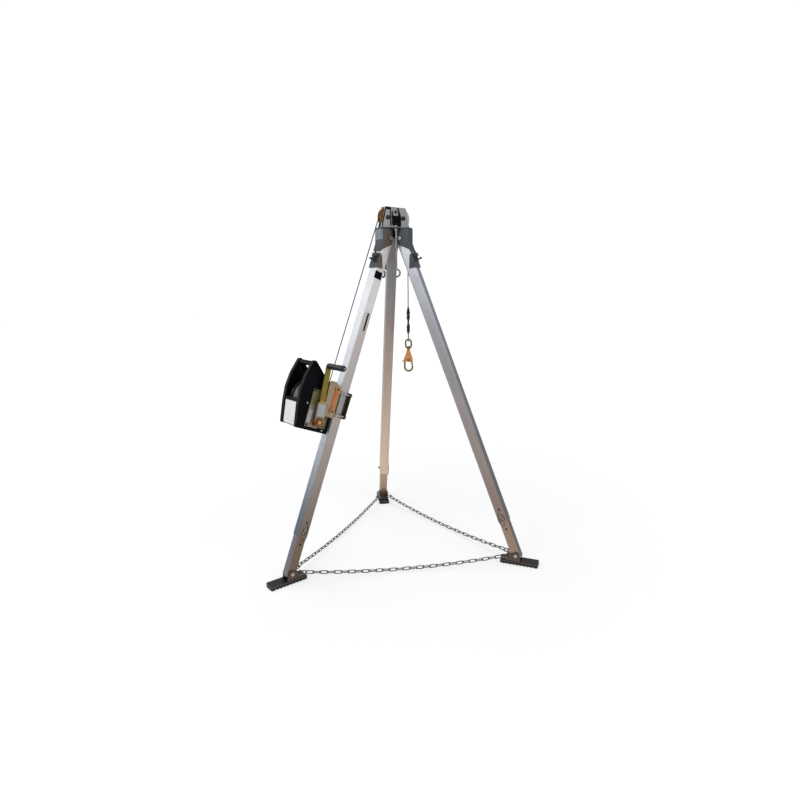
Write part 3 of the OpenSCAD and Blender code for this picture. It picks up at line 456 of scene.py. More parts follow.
def blotchy(name, metallic, bump=0.15, specular=0.5, **values):
    """A finish of slow blotches and fine grain: paint, zinc, plastic or rubber."""
    made, tree, shader, where = finish_shell(name, metallic)
    shader.inputs["Specular IOR Level"].default_value = specular
    look = place_group(tree, blotch_and_grain, where, **values)
    tree.links.new(look.outputs["Color"], shader.inputs["Base Color"])
    tree.links.new(look.outputs["Roughness"], shader.inputs["Roughness"])
    bumped(tree, shader, look.outputs["Height"], bump, GRAIN_DEPTH)
    return made


def drawn(name, along, bright, dim, floor_reflection, reflection_height, rough, fineness=700.0):
    """Drawn or brushed metal: streaks along a direction, and a painted reflection of the floor that fades
    up to a height.
    """
    made, tree, shader, where = finish_shell(name, DRAWN_METALLIC)
    turn = add_node(tree, "ShaderNodeMapping", vector_type="TEXTURE")
    along = np.array(along, float) / np.linalg.norm(along)
    turn.inputs["Rotation"].default_value = (
        0, -math.asin(float(along[2])), math.atan2(float(along[1]), float(along[0])))
    tree.links.new(where, turn.inputs["Vector"])
    streak = place_group(tree, drawn_streaks, turn.outputs[0], fineness=fineness)
    # The low colour up to the given height is a painted reflection of the floor
    look = place_group(
        tree, blotch_and_grain, where, base=bright, tint=dim, dust=floor_reflection, blotch_scale=7.0,
        blotch=0.55, dust_top=reflection_height, dust_amount=1.3, rough_low=rough, rough_high=rough + ROUGH_SPREAD)
    dark = add_node(tree, "ShaderNodeHueSaturation")
    dark.inputs["Value"].default_value = STREAK_VALUE
    tree.links.new(look.outputs["Color"], dark.inputs["Color"])
    color = mixed(tree, streak.outputs["Mask"], dark.outputs[0], look.outputs["Color"])
    tree.links.new(color, shader.inputs["Base Color"])
    tree.links.new(look.outputs["Roughness"], shader.inputs["Roughness"])
    bumped(tree, shader, streak.outputs["Height"], STREAK_BUMP, STREAK_DEPTH)
    return made


# Material, metallic, base colour, blotch colour, least and most roughness, blotch scale and, where a
# finish needs them, other values by name
FINISHES = {
    "bracket": ("slate_paint", 0.5, (0.030, 0.037, 0.050), (0.05, 0.05, 0.055), (0.30, 0.46), 16),
    # Painted light on the winch leg's bracket and clip: its sides, the slate paint as lit there, and a
    # painted highlight on the upper web
    "bracket_side": ("brown_slate_paint", 0.5, (0.125, 0.10, 0.085), (0.085, 0.072, 0.066),
                     (0.32, 0.48), 18),
    "bracket_web": ("pale_slate_paint", 0.5, (0.155, 0.185, 0.22), (0.085, 0.105, 0.13), (0.30, 0.46), 20),
    "clamp": ("grey_clamp_paint", 0.5, (0.40, 0.42, 0.45), (0.31, 0.325, 0.345), (0.34, 0.5), 24),
    "umber": ("dark_brown_plate", 0.5, (0.055, 0.04, 0.024), (0.11, 0.08, 0.04), (0.32, 0.5), 36),
    "zinc": ("zinc_plate", 0.9, (0.50, 0.50, 0.485), (0.33, 0.32, 0.305), (0.26, 0.46), 60),
    "chain": ("zinc_chain", 0.8, (0.22, 0.215, 0.19), (0.105, 0.10, 0.085), (0.28, 0.5), 45,
              {"blotch": 0.8}),
    "gold": ("yellow_zinc", 0.9, (0.62, 0.38, 0.12), (0.42, 0.23, 0.07), (0.25, 0.42), 55),
    "hook": ("orange_zinc", 0.85, (0.70, 0.32, 0.12), (0.52, 0.22, 0.075), (0.27, 0.44), 60),
    "bow": ("olive_bronze", 0.85, (0.25, 0.19, 0.07), (0.15, 0.125, 0.05), (0.26, 0.44), 70),
    "catch": ("red_bronze", 0.8, (0.50, 0.17, 0.06), (0.36, 0.12, 0.045), (0.3, 0.46), 60),
    "eye": ("grey_steel_eye", 0.85, (0.235, 0.235, 0.22), (0.13, 0.13, 0.115), (0.26, 0.44), 60),
    "plastic": ("black_moulding", 0.0, (0.0022, 0.0028, 0.0038), (0.0045, 0.0055, 0.007), (0.27, 0.42), 14,
                {"bump": 0.3, "specular": 0.045, "grain_scale": 1400.0}),
    "grip": ("grip_moulding", 0.0, (0.010, 0.011, 0.013), (0.022, 0.023, 0.026), (0.3, 0.46), 14,
             {"bump": 0.35, "specular": 0.35, "grain_scale": 1800.0}),
    "olive": ("olive_gold_plate", 0.7, (0.27, 0.20, 0.03), (0.15, 0.11, 0.016), (0.28, 0.45), 40),
    "dull_olive": ("dull_olive_plate", 0.6, (0.20, 0.165, 0.075), (0.12, 0.095, 0.038), (0.32, 0.5), 34),
    "silver": ("grey_olive_plate", 0.7, (0.285, 0.26, 0.205), (0.17, 0.15, 0.105), (0.3, 0.5), 38),
    "tan": ("tan_gold_plate", 0.65, (0.40, 0.315, 0.205), (0.285, 0.21, 0.12), (0.32, 0.5), 26),
    "copper": ("copper_strap", 0.8, (0.62, 0.21, 0.075), (0.45, 0.145, 0.05), (0.3, 0.46), 50),
    "drum": ("turned_drum", 0.9, (0.46, 0.47, 0.48), (0.34, 0.34, 0.35), (0.3, 0.45), 35),
    "rope": ("steel_rope", 0.6, (0.026, 0.028, 0.028), (0.015, 0.016, 0.016), (0.38, 0.58), 90),
    # The wound rope is the same steel rope as the free rope, lighter: a painted highlight
    "wound": ("wound_rope", 0.6, (0.17, 0.175, 0.185), (0.09, 0.093, 0.10), (0.34, 0.54), 60),
    "lanyard": ("coated_wire", 0.3, (0.07, 0.067, 0.062), (0.04, 0.038, 0.035), (0.35, 0.5), 80),
    "shoe": ("brown_grey_shoe", 0.35, (0.095, 0.064, 0.055), (0.055, 0.039, 0.035), (0.3, 0.5), 26,
             {"dust": (0.17, 0.135, 0.11), "dust_top": 0.06, "dust_amount": 0.3}),
    "base": ("black_shoe_plate", 0.1, (0.007, 0.0065, 0.0065), (0.016, 0.014, 0.0135), (0.28, 0.46), 30,
             {"specular": 0.3}),
    "sole": ("ribbed_rubber", 0.0, (0.010, 0.009, 0.009), (0.02, 0.018, 0.017), (0.5, 0.75), 14,
             {"bump": 0.4, "specular": 0.25, "dust": (0.06, 0.05, 0.045), "dust_top": 0.02,
              "dust_amount": 0.4}),
    "sleeve": ("shrink_sleeve", 0.0, (0.006, 0.006, 0.0065), (0.014, 0.014, 0.015), (0.26, 0.44), 60,
               {"specular": 0.35}),
    "black": ("black_steel", 0.4, (0.016, 0.016, 0.018), (0.035, 0.034, 0.035), (0.3, 0.48), 14),
    "label": ("blank_label", 0.0, (0.76, 0.755, 0.76), (0.68, 0.67, 0.68), (0.42, 0.55), 30,
              {"bump": 0.05}),
    "pale": ("pale_blank_plate", 0.25, (0.42, 0.41, 0.43), (0.33, 0.32, 0.33), (0.36, 0.52), 40,
             {"bump": 0.05}),
    "bronze": ("bronze_hub", 0.85, (0.25, 0.115, 0.04), (0.13, 0.06, 0.022), (0.24, 0.42), 50),
    "ivory": ("pale_sheave", 0.2, (0.66, 0.60, 0.49), (0.54, 0.46, 0.34), (0.34, 0.5), 40),
    "flange": ("dark_flange", 0.3, (0.008, 0.009, 0.011), (0.02, 0.021, 0.024), (0.3, 0.46), 14,
               {"specular": 0.25}),
}
finish = {}
for look, (name, metallic, base, tint, (low, high), scale, *others) in FINISHES.items():
    finish[look] = blotchy(name, metallic, base=base, tint=tint, rough_low=low, rough_high=high,
                           blotch_scale=scale, **dict(*others))
finish["cheek"] = drawn("brushed_cheek", (0, 0, 1), (0.47, 0.48, 0.48), (0.36, 0.365, 0.37),
                        (0.5, 0.5, 0.5), reflection_height=0.01, rough=0.26, fineness=900.0)
# Each tube has one finish on its two sides and one on its outer and inner face. The colours are painted
# light: the same drawn aluminium is lighter or darker from leg to leg and face to face as light falls on
# it, and holds painted reflections: high up, in a dimmer blotch and at the floor
TUBE_LIT_COLORS = {
    "tube_winch_sides": ((0.86, 0.82, 0.81), (0.74, 0.70, 0.69), (0.19, 0.132, 0.095)),
    "tube_winch_faces": ((0.66, 0.67, 0.69), (0.57, 0.585, 0.61), (0.085, 0.115, 0.16)),
    "tube_right_sides": ((0.43, 0.44, 0.475), (0.33, 0.345, 0.38), (0.275, 0.20, 0.165)),
    "tube_right_faces": ((0.38, 0.41, 0.48), (0.29, 0.32, 0.38), (0.035, 0.04, 0.04)),
    "tube_back_sides": ((0.62, 0.60, 0.59), (0.52, 0.50, 0.485), (0.56, 0.48, 0.38)),
    "tube_back_faces": ((0.26, 0.24, 0.25), (0.20, 0.185, 0.195), (0.86, 0.63, 0.465)),
    "inner_winch_sides": ((0.27, 0.19, 0.145), (0.215, 0.15, 0.115), (0.21, 0.145, 0.105)),
    "inner_winch_faces": ((0.22, 0.205, 0.25), (0.175, 0.165, 0.205), (0.19, 0.175, 0.205)),
    "inner_right_sides": ((0.43, 0.305, 0.24), (0.355, 0.25, 0.195), (0.37, 0.255, 0.195)),
    "inner_right_faces": ((0.05, 0.05, 0.047), (0.038, 0.037, 0.035), (0.045, 0.04, 0.036)),
    "inner_back_sides": ((0.46, 0.40, 0.33), (0.38, 0.33, 0.27), (0.41, 0.33, 0.25)),
    "inner_back_faces": ((0.60, 0.40, 0.32), (0.51, 0.335, 0.26), (0.55, 0.38, 0.27)),
}
TUBE_REFLECTION_HEIGHT, TUBE_ROUGH = 1.35, 0.27
for look, (high, dim, low) in TUBE_LIT_COLORS.items():
    along_leg = leg_axes(look.split("_")[1])[2]
    finish[look] = drawn("drawn_" + look, along_leg, high, dim, low, TUBE_REFLECTION_HEIGHT, TUBE_ROUGH)
print("finishes:", len(finish))

# %% [markdown]
# ## Rounded edges on the hard parts
# A real casting or plate has no razor edge, and a thin bright line along each edge is what tells the
# eye that it is metal. Each hard node is copied, its loose triangles are merged, flat neighbours are
# joined, and a Bevel modifier rounds what is still sharp. The copy stands in for the node.

# %% Round the edges of the hard nodes
SHARP, FLAT = math.radians(32), math.radians(0.4)
WELD = 2e-6


def merged_copy(node):
    """A copy of a CAD node's mesh with its doubles merged and its flat triangles joined."""
    mesh = frame["nodes"][node].data.copy()
    work = bmesh.new()
    work.from_mesh(mesh)
    bmesh.ops.remove_doubles(work, verts=work.verts, dist=WELD)
    bmesh.ops.dissolve_limit(work, angle_limit=FLAT, verts=work.verts, edges=work.edges)
    for face in work.faces:
        face.smooth = True
    for edge in work.edges:
        edge.smooth = edge.is_boundary or edge.calc_face_angle(0.0) < SHARP
    work.to_mesh(mesh)
    work.free()
    mesh.materials.clear()
    return mesh


def rounded(node, finish_name, width_mm, segments=2):
    """A copy of a node with rounded edges that replaces it and rides on its body."""
    obj = new_object(node + "_rounded", merged_copy(node))
    obj.data.materials.append(finish[finish_name])
    if width_mm:
        bevel = obj.modifiers.new("rounded_edges", "BEVEL")
        bevel.width = width_mm * MM
        bevel.segments = segments
        bevel.limit_method = "ANGLE"
        bevel.angle_limit = SHARP
        bevel.harden_normals = True
    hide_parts(node)
    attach(obj, body_of_node[node])
    return obj


def paint_faces(obj, finish_name, test):
    """Gives a second finish to the faces whose middle and normal pass a test."""
    mesh = obj.data
    middles = np.empty(3 * len(mesh.polygons))
    normals = np.empty(3 * len(mesh.polygons))
    mesh.polygons.foreach_get("center", middles)
    mesh.polygons.foreach_get("normal", normals)
    chosen = test(middles.reshape(-1, 3), normals.reshape(-1, 3))
    index = np.zeros(len(mesh.polygons), np.int32)
    mesh.polygons.foreach_get("material_index", index)
    mesh.materials.append(finish[finish_name])
    index[chosen] = len(mesh.materials) - 1
    mesh.polygons.foreach_set("material_index", index)


def cut_along(obj, point, away):
    """Cuts a piece's faces along a plane and keeps both sides."""
    work = bmesh.new()
    work.from_mesh(obj.data)
    everything = work.verts[:] + work.edges[:] + work.faces[:]
    bmesh.ops.bisect_plane(work, geom=everything, plane_co=tuple(point), plane_no=tuple(away))
    work.to_mesh(obj.data)
    work.free()


def two_tone(obj, point, away, finish_name):
    """Cuts a piece along a plane and gives the faces on its far side a second finish."""
    cut_along(obj, point, away)
    paint_faces(obj, finish_name, lambda middle, _: (middle - np.asarray(point)) @ np.asarray(away) > 0)


# Finish, edge radius in millimetres and, on large mouldings, the number of bevel segments
HARD_NODES = {
    "head_plate": ("bracket", 1.0), "leg_brackets": ("bracket", 1.4), "leg_pivot_bolts": ("eye", 0.6),
    "cheek_plates": ("cheek", 0.8), "sheave_axles": ("black", 0.6), "eyebolts": ("eye", 0.4),
    "sheave_winch_side": ("bronze", 0.6), "sheave_load_side": ("ivory", 0.6),
    "carry_handle": ("plastic", 1.0), "front_cover": ("plastic", 1.0), "gear_plate": ("dull_olive", 0.6),
    "winch_case_near": ("plastic", 4.0, 4), "winch_case_far": ("plastic", 4.0, 4),
    "winch_bracket": ("tan", 0.8), "clamp_plate": ("clamp", 0.8), "clamp_studs": ("zinc", 0.4),
    "clamp_strap": ("copper", 0.8), "winch_drum": ("drum", 0.6), "drum_gear": ("bronze", 0.2),
    "drum_axle": ("zinc", 0.8), "crank_shaft": ("hook", 0.2), "brake_hub": ("bronze", 0.8),
    "crank_arm": ("olive", 0.8), "crank_grip": ("grip", 0.6), "thimble": ("eye", 0.0),
    "swivel_eye": ("bow", 0.4), "hook_body": ("hook", 0.8), "hook_gate": ("bow", 0.5),
    "hook_lock": ("catch", 0.5), "rope_ferrule": ("sleeve", 0.0),
}
for leg in LEGS:
    HARD_NODES.update({
        "outer_tube_" + leg: (f"tube_{leg}_sides", 0.5), "inner_tube_" + leg: (f"inner_{leg}_sides", 0.5),
        "lock_clip_" + leg: ("bracket", 0.8), "lock_bolt_" + leg: ("black", 0.5),
        "leg_pin_" + leg: ("eye", 0.4), "foot_shoe_" + leg: ("shoe", 0.6),
        "foot_sole_" + leg: ("sole", 0.8),
    })
hard = {node: rounded(node, *look) for node, look in HARD_NODES.items()}
print("rounded pieces:", len(hard))

# %% [markdown]
# ## Pieces in two finishes
# A tube's outer and inner face differ from its sides by painted light. The gear plate is olive above and
# grey below, the hook is orange above its gate and bronze below it, a shoe's base is darker than its ears
# and its bolt is zinc. The winch leg's bracket and clip carry painted light too: sides that are the slate
# paint as lit there, shown brown, and a painted highlight on the upper part of the bracket's web. A face
# takes a second finish by a test on its middle and normal, or where a plane cuts it.

# %% Second finishes
SHOE_BASE_TOP, BOLT_REACH, EAR_OUTSIDE = 18.2 * MM, 10.0 * MM, 29.0 * MM
# Least part of a face's normal along a direction, for a face that looks that way
SQUARE_ON, OUTWARDS, UPWARDS = 0.8, 0.6, 0.5


def facing(direction):
    """A test for faces that look squarely along a direction or against it."""
    return lambda _, normal: np.abs(normal @ direction) > SQUARE_ON


for leg in LEGS:
    outwards, sideways, _ = leg_axes(leg)
    # Painted light: each tube's outer and inner face take other colours than its sides, as light falls on
    # them
    paint_faces(hard["outer_tube_" + leg], f"tube_{leg}_faces", facing(outwards))
    paint_faces(hard["inner_tube_" + leg], f"inner_{leg}_faces", facing(outwards))
    shoe, ankle = hard["foot_shoe_" + leg], np.array(joint_of[f"foot_{leg}_pivot"]["pos_m"])
    cut_along(shoe, (0, 0, SHOE_BASE_TOP), -UP)
    paint_faces(shoe, "base",
                lambda middle, normal: (middle[:, 2] < SHOE_BASE_TOP) & (normal[:, 2] > UPWARDS))

    def on_bolt(middle, _):
        """True for the faces of the bolt's head and nut, outside the two ears."""
        offset = middle - ankle
        beside = offset @ sideways
        apart = np.linalg.norm(offset - np.outer(beside, sideways), axis=1)
        return (apart < BOLT_REACH) & (np.abs(beside) > EAR_OUTSIDE)

    paint_faces(shoe, "zinc", on_bolt)
gate_axis = np.array(joint_of["gate_open"]["pos_m"])
# Where the finish changes, in millimetres: below the gate's axis, from the drum's axis, up the crank's arm,
# inwards from the winch leg's pivot and below the brackets' top
HOOK_CUT, GEAR_PLATE_CUT, CLAMP_CUT, ARM_CUT, WINCH_BRACKET, WEB_HIGHLIGHT_DROP = 8, -26, -166, 88, 20, 47
two_tone(hard["hook_body"], gate_axis - HOOK_CUT * MM * UP, -UP, "bow")
two_tone(hard["gear_plate"], at_winch(0, 0, GEAR_PLATE_CUT), -leg_up, "silver")
two_tone(hard["clamp_plate"], at_winch(CLAMP_CUT, 0, 0), -leg_out, "umber")
two_tone(hard["crank_arm"], crank_axis + ARM_CUT * MM * arm_up, -arm_up, "silver")
paint_faces(hard["winch_drum"], "flange", facing(leg_side))
# Painted light: the winch leg's clip and bracket sides are the slate paint as lit there, and the upper web
# carries a painted highlight
paint_faces(hard["lock_clip_winch"], "bracket_side", facing(leg_side))
on_winch_side = pivot_of["winch"][0] + WINCH_BRACKET * MM
web_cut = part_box("leg_brackets")[1][2] - WEB_HIGHLIGHT_DROP * MM
cut_along(hard["leg_brackets"], (0, 0, web_cut), UP)
paint_faces(hard["leg_brackets"], "bracket_side",
            lambda middle, normal: (middle[:, 0] < on_winch_side) & facing(leg_side)(middle, normal))
paint_faces(hard["leg_brackets"], "bracket_web",
            lambda middle, normal: (middle[:, 0] < on_winch_side) & (normal[:, 0] < -OUTWARDS)
            & (middle[:, 2] > web_cut))
print("two finishes on", len([piece for piece in hard.values() if len(piece.data.materials) > 1]), "pieces")

# %% [markdown]
# ## Wire rope
# The hoist rope is six strands laid round a core. Its tube is a grid: one parameter runs along the
# rope, the other round it, and the radius swells six times round at an angle that turns as it goes,
# so the strands spiral. Rope under load runs straight, so its path is straight lines and sheave arcs.

# %% A tube with laid strands
ROPE_MM = 4.8
STRANDS = 6
LAY_MM = 34.0
STRAND_SWELL = 0.16


def spaced(points, step):
    """Points spread evenly along a polyline, ends kept."""
    points = np.asarray(points, float)
    run = np.concatenate([[0], np.cumsum(np.linalg.norm(np.diff(points, axis=0), axis=1))])
    count = max(int(round(run[-1] / step)), 2)
    at = np.linspace(0, run[-1], count + 1)
    return np.stack([np.interp(at, run, points[:, k]) for k in range(3)], axis=1), at


def grid_mesh(name, rings):
    """A closed tube from an array of rings, with a fan over each end."""
    count, round_count, _ = rings.shape
    index = np.arange(count * round_count).reshape(count, round_count)
    nxt = np.roll(index, -1, axis=1)
    quads = np.stack([index[:-1], nxt[:-1], nxt[1:], index[1:]], axis=-1).reshape(-1, 4)
    mesh = bpy.data.meshes.new(name)
    faces = quads.tolist() + [index[0][::-1].tolist(), index[-1].tolist()]
    mesh.from_pydata(rings.reshape(-1, 3).tolist(), [], faces)
    mesh.polygons.foreach_set("use_smooth", np.ones(len(mesh.polygons), bool))
    mesh.update()
    return mesh


def carried_frames(path, ref):
    """At each point of a path: its direction, and two directions square to it, steadied by ref."""
    ahead = np.gradient(path, axis=0)
    ahead /= np.linalg.norm(ahead, axis=1, keepdims=True)
    first = np.cross(ahead, ref)
    first /= np.linalg.norm(first, axis=1, keepdims=True)
    return ahead, first, np.cross(ahead, first)


def laid_tube(name, path, along, radius, ref, sides=24, swell=STRAND_SWELL):
    """Radius(angle, s) = r (1 - swell + swell |cos(STRANDS/2 (angle - 2 pi s / lay))|), carried along."""
    angle = np.linspace(0, 2 * np.pi, sides, endpoint=False)[None, :]
    phase = angle - 2 * np.pi * along[:, None] / (LAY_MM * MM)
    r = radius * (1 - swell + swell * np.abs(np.cos(STRANDS / 2 * phase)))
    _, a, b = carried_frames(path, np.asarray(ref, float))
    rings = path[:, None, :] + r[..., None] * (
        np.cos(angle)[..., None] * a[:, None, :] + np.sin(angle)[..., None] * b[:, None, :])
    return grid_mesh(name, rings)


# %% Rope from the drum to the head, over the sheaves and down
CROSSWAYS = np.array([0.0, 1.0, 0.0])
ROPE_STEP, CORD_EVERY = 0.0021, 4
# The slanted lower end's middle, from the lower corner of the rope's box
ROPE_END = np.array([0.0022, 0, 0.0009])
sheave_first = np.array(joint_of["sheave_winch_turn"]["pos_m"])
sheave_last = np.array(joint_of["sheave_load_turn"]["pos_m"])
sheave_pitch = float(load_axis[0] - sheave_last[0])
rope_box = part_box("rope_to_head")
rope_start = np.array([rope_box[0][0], 0, rope_box[0][2]]) + ROPE_END
to_first = sheave_first - rope_start
reach = np.linalg.norm(to_first)
lean = math.atan2(-to_first[2], -to_first[0]) - math.acos(sheave_pitch / reach)
leave = sheave_first + sheave_pitch * np.array([math.cos(lean), 0, math.sin(lean)])
sleeve_top = float(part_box("rope_ferrule")[1][2])


def sheave_arc(middle, start, end, count):
    """Points round a sheave at the rope's radius, from one angle to another."""
    turn = np.linspace(start, end, count)
    return middle + sheave_pitch * np.stack([np.cos(turn), 0 * turn, np.sin(turn)], axis=1)


def rope_piece(name, points, node):
    """One stretch of rope that replaces a node and stays where it is placed."""
    path, along = spaced(points, ROPE_STEP)
    obj = new_object(name, laid_tube(name, path, along, ROPE_MM / 2 * MM, CROSSWAYS))
    obj.data.materials.append(finish["rope"])
    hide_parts(node)
    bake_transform(obj)


rope_piece("rope_up_leg", [rope_start, leave], "rope_to_head")
over = np.concatenate([
    sheave_arc(sheave_first, lean % (2 * math.pi), math.pi / 2, count=24),
    sheave_arc(sheave_last, math.pi / 2, 0, count=30),
    [[load_axis[0], 0, sleeve_top]],
])
rope_piece("rope_over_sheaves", over, "rope_over_head")
print("rope leaves the drum at", rope_start, "and meets the sheave at", leave)

# %% [markdown]
# ## The rope on the drum
# Only the outer layer shows: one unbroken helix between the flanges. It is the same laid tube, with
# fewer sides because it is long, carried along a helix about the drum's axis.

# %% Rope winding
WIND_TURNS, POINTS_PER_TURN = 13, 150
wind_low, wind_high = (np.array(c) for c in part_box("rope_winding"))
wind_radius = (wind_high[0] - wind_low[0]) / 2 - ROPE_MM / 2 * MM
wind_half = (wind_high[1] - wind_low[1] - ROPE_MM * MM) / 2
wind_t = np.linspace(0, 1, WIND_TURNS * POINTS_PER_TURN)
wind_angle = 2 * np.pi * WIND_TURNS * wind_t
wind_path = drum_axis + np.stack([
    wind_radius * np.cos(wind_angle),
    wind_half * (2 * wind_t - 1),
    wind_radius * np.sin(wind_angle),
], axis=1)
wind_along = wind_t * WIND_TURNS * 2 * np.pi * wind_radius
winding = new_object("rope_winding_laid", laid_tube(
    "rope_winding_laid", wind_path, wind_along, ROPE_MM / 2 * MM, CROSSWAYS, sides=16))
# The winding is lighter than the free rope: a painted highlight
winding.data.materials.append(finish["wound"])
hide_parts("rope_winding")
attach(winding, "drum")
print("winding radius", round(wind_radius, 4), "half width", round(wind_half, 4))

# %% [markdown]
# ## Lanyards
# A thin coated wire keeps each locking pin on its leg. It leaves the rivet, hangs in a loop and comes
# back up to the pin's ring, so it is a smooth curve through a few given points.

# %% Pin lanyards
PIN_DROP = 1448.0
LANYARD_MM = 2.0
LANYARD_ROUTE = np.array([
    [0, 30], [-7, 24], [-13, 12], [-17, -4], [-19, -20], [-19, -36], [-16, -50], [-10, -56], [-4, -52],
    [-1, -43], [0, -36]], float)
LANYARD_OFF, TUBE_SIDE = 28.4, 25.4
# A turned profile stays this far off its axis, so that no ring shrinks to a point
AXIS_GAP = 0.01
RIVET_MM = 5.0
RIVET_PROFILE = MM * np.array([
    [AXIS_GAP, 0], [RIVET_MM, 0], [RIVET_MM, 1.2], [4.2, 3.0], [2.4, 4.2], [AXIS_GAP, 4.6]])
ASKEW = (0.3, 0.5, 0.81)
SPAN_POINTS = 8


def smooth_curve(points):
    """A Catmull-Rom curve through points: each span is a cubic set by its two neighbours."""
    p = np.concatenate([[2 * points[0] - points[1]], points, [2 * points[-1] - points[-2]]])
    t = np.linspace(0, 1, SPAN_POINTS, endpoint=False)[None, :, None]
    a, b, c, d = (p[k:len(p) - 3 + k, None, :] for k in range(4))
    curve = 0.5 * (2 * b + (c - a) * t + (2 * a - 5 * b + 4 * c - d) * t**2
                   + (3 * b - a - 3 * c + d) * t**3)
    return np.concatenate([curve.reshape(-1, points.shape[1]), points[-1:]])


def round_tube(name, path, radius, ref, sides=12):
    """A plain round tube carried along a path."""
    along = np.zeros(len(path))
    return laid_tube(name, path, along, radius, ref, sides=sides, swell=0.0)


def sharpen(mesh):
    """Turns a closed mesh's faces outwards and keeps its steep edges sharp."""
    work = bmesh.new()
    work.from_mesh(mesh)
    bmesh.ops.recalc_face_normals(work, faces=work.faces)
    for edge in work.edges:
        edge.smooth = edge.calc_face_angle(0.0) < SHARP
    work.to_mesh(mesh)
    work.free()


def lathe(name, profile, middle, axis, count=40):
    """A profile of (radius, height) pairs turned about an axis through a point."""
    axis = np.asarray(axis, float) / np.linalg.norm(axis)
    first = np.cross(axis, ASKEW)
    first /= np.linalg.norm(first)
    second = np.cross(axis, first)
    angle = np.linspace(0, 2 * np.pi, count, endpoint=False)
    around = np.cos(angle)[:, None] * first + np.sin(angle)[:, None] * second
    profile = np.asarray(profile, float)
    rings = (np.asarray(middle, float) + profile[:, None, :1] * around[None] +
             profile[:, None, 1:] * axis[None, None])
    mesh = grid_mesh(name, rings)
    sharpen(mesh)
    return mesh


for leg in LEGS:
    pull = np.array(joint_of[f"pin_{leg}_pull"]["axis"])
    sign = float(np.sign(pull @ leg_axes(leg)[1]))
    flat = smooth_curve(LANYARD_ROUTE)
    route = on_leg(leg, flat[:, 0], np.full(len(flat), sign * LANYARD_OFF), flat[:, 1] - PIN_DROP)
    lanyard = new_object("lanyard_" + leg, round_tube("lanyard_" + leg, route, LANYARD_MM / 2 * MM,
                                                      leg_axes(leg)[1]))
    lanyard.data.materials.append(finish["lanyard"])
    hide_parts("pin_lanyard_" + leg)
    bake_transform(lanyard)
    length = float(np.linalg.norm(np.diff(route, axis=0), axis=1).sum())
    face = on_leg(leg, 0.0, sign * TUBE_SIDE, LANYARD_ROUTE[0, 1] + RIVET_MM - PIN_DROP)
    rivet = new_object("lanyard_rivet_" + leg, lathe("lanyard_rivet_" + leg, RIVET_PROFILE, face, pull))
    rivet.data.materials.append(finish["black"])
    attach(rivet, "leg_" + leg)
print("lanyards made")

# %% [markdown]
# ## Chains cut into stretches
# Each chain node is cut into stretches of whole links: from each end, the end ring and the links after
# it, the next stretch and the middle. Each stretch stays where the chain hangs at rest.

# %% Chains
CHAIN_ENDS = {"chain_front": ("winch", "right"), "chain_right": ("right", "back"),
              "chain_rear": ("back", "winch")}


def link_groups(mesh):
    """The mesh's separate links, as lists of vertices, and the middle of each."""
    work = bmesh.new()
    work.from_mesh(mesh)
    bmesh.ops.remove_doubles(work, verts=work.verts, dist=WELD)
    left, links = set(work.verts), []
    while left:
        stack, found = [left.pop()], []
        while stack:
            vert = stack.pop()
            found.append(vert)
            for edge in vert.link_edges:
                other = edge.other_vert(vert)
                if other in left:
                    left.remove(other)
                    stack.append(other)
        links.append((np.mean([v.co for v in found], axis=0), found))
    return work, links


def chain_stretch(name, node, keep):
    """A copy of a chain with only the links whose middle passes the keep test."""
    work, links = link_groups(frame["nodes"][node].data)
    drop = [vert for middle, verts in links if not keep(middle) for vert in verts]
    bmesh.ops.delete(work, geom=drop, context="VERTS")
    for face in work.faces:
        face.smooth = True
    mesh = bpy.data.meshes.new(name)
    work.to_mesh(mesh)
    work.free()
    mesh.materials.append(finish["chain"])
    return new_object(name, mesh)


# The end ring's length in metres, and the shares of a chain's length where its stretches meet
END_RING, TURN_OVER, QUARTER, HALF = 0.036, 0.12, 0.25, 0.5
SAMPLE_EVERY = 7
for node, (leg_a, leg_b) in CHAIN_ENDS.items():
    points = frame["nodes"][node].data.vertices
    sampled = np.array([points[k].co for k in range(0, len(points), SAMPLE_EVERY)])
    foot = {leg: np.array(joint_of[f"foot_{leg}_pivot"]["pos_m"]) for leg in (leg_a, leg_b)}
    span = foot[leg_b] - foot[leg_a]
    reach = np.linalg.norm(span)
    share = (sampled - foot[leg_a]) @ span / reach**2
    first, last = share.min(), share.max()
    ring_share = END_RING / reach

    def at(part):
        """A point on the line between the two feet, at a share of the chain's own length."""
        return tuple(foot[leg_a] + span * (first + (last - first) * part))

    def within(low, high):
        """A test for links whose middle lies between two shares of the chain's length."""
        def keep(middle):
            part = ((middle - foot[leg_a]) @ span / reach**2 - first) / (last - first)
            return low <= part < high
        return keep

    # Each stretch's name, the shares where it starts and ends and two body names that nothing reads
    stretches = (("end", ring_share, TURN_OVER, "foot_", "inner_leg_"),
                 ("near", TURN_OVER, QUARTER, "inner_leg_", "leg_"),
                 ("mid", QUARTER, HALF, "leg_", None))
    for leg in (leg_a, leg_b):
        for place, near_end, far_end, holder, next_holder in stretches:
            first_link = -1 if place == "end" else near_end
            if leg == leg_a:
                keep = within(first_link, far_end)
            else:
                keep = within(1 - far_end, 1 - first_link)
                near_end, far_end = 1 - near_end, 1 - far_end
            stretch = chain_stretch(f"{node}_{place}_{leg}", node, keep)
            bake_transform(stretch)
            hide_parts(node)
print("chains cut into stretches")

# %% [markdown]
# ## Plates, screws and caps
# The plates are bare: thin rounded panels, a little proud of what they sit on. The dark strips on the
# turret's cheeks are such panels too, long and narrow: painted shade, dark sheets that stand for the shade
# and the gaps between the turret's plates. Screw heads and caps are turned from a short profile, and one
# with six sides is a hexagon head.

# %% Small fittings
CORNER_POINTS, HEXAGON, MANY_SIDES = 7, 6, 40
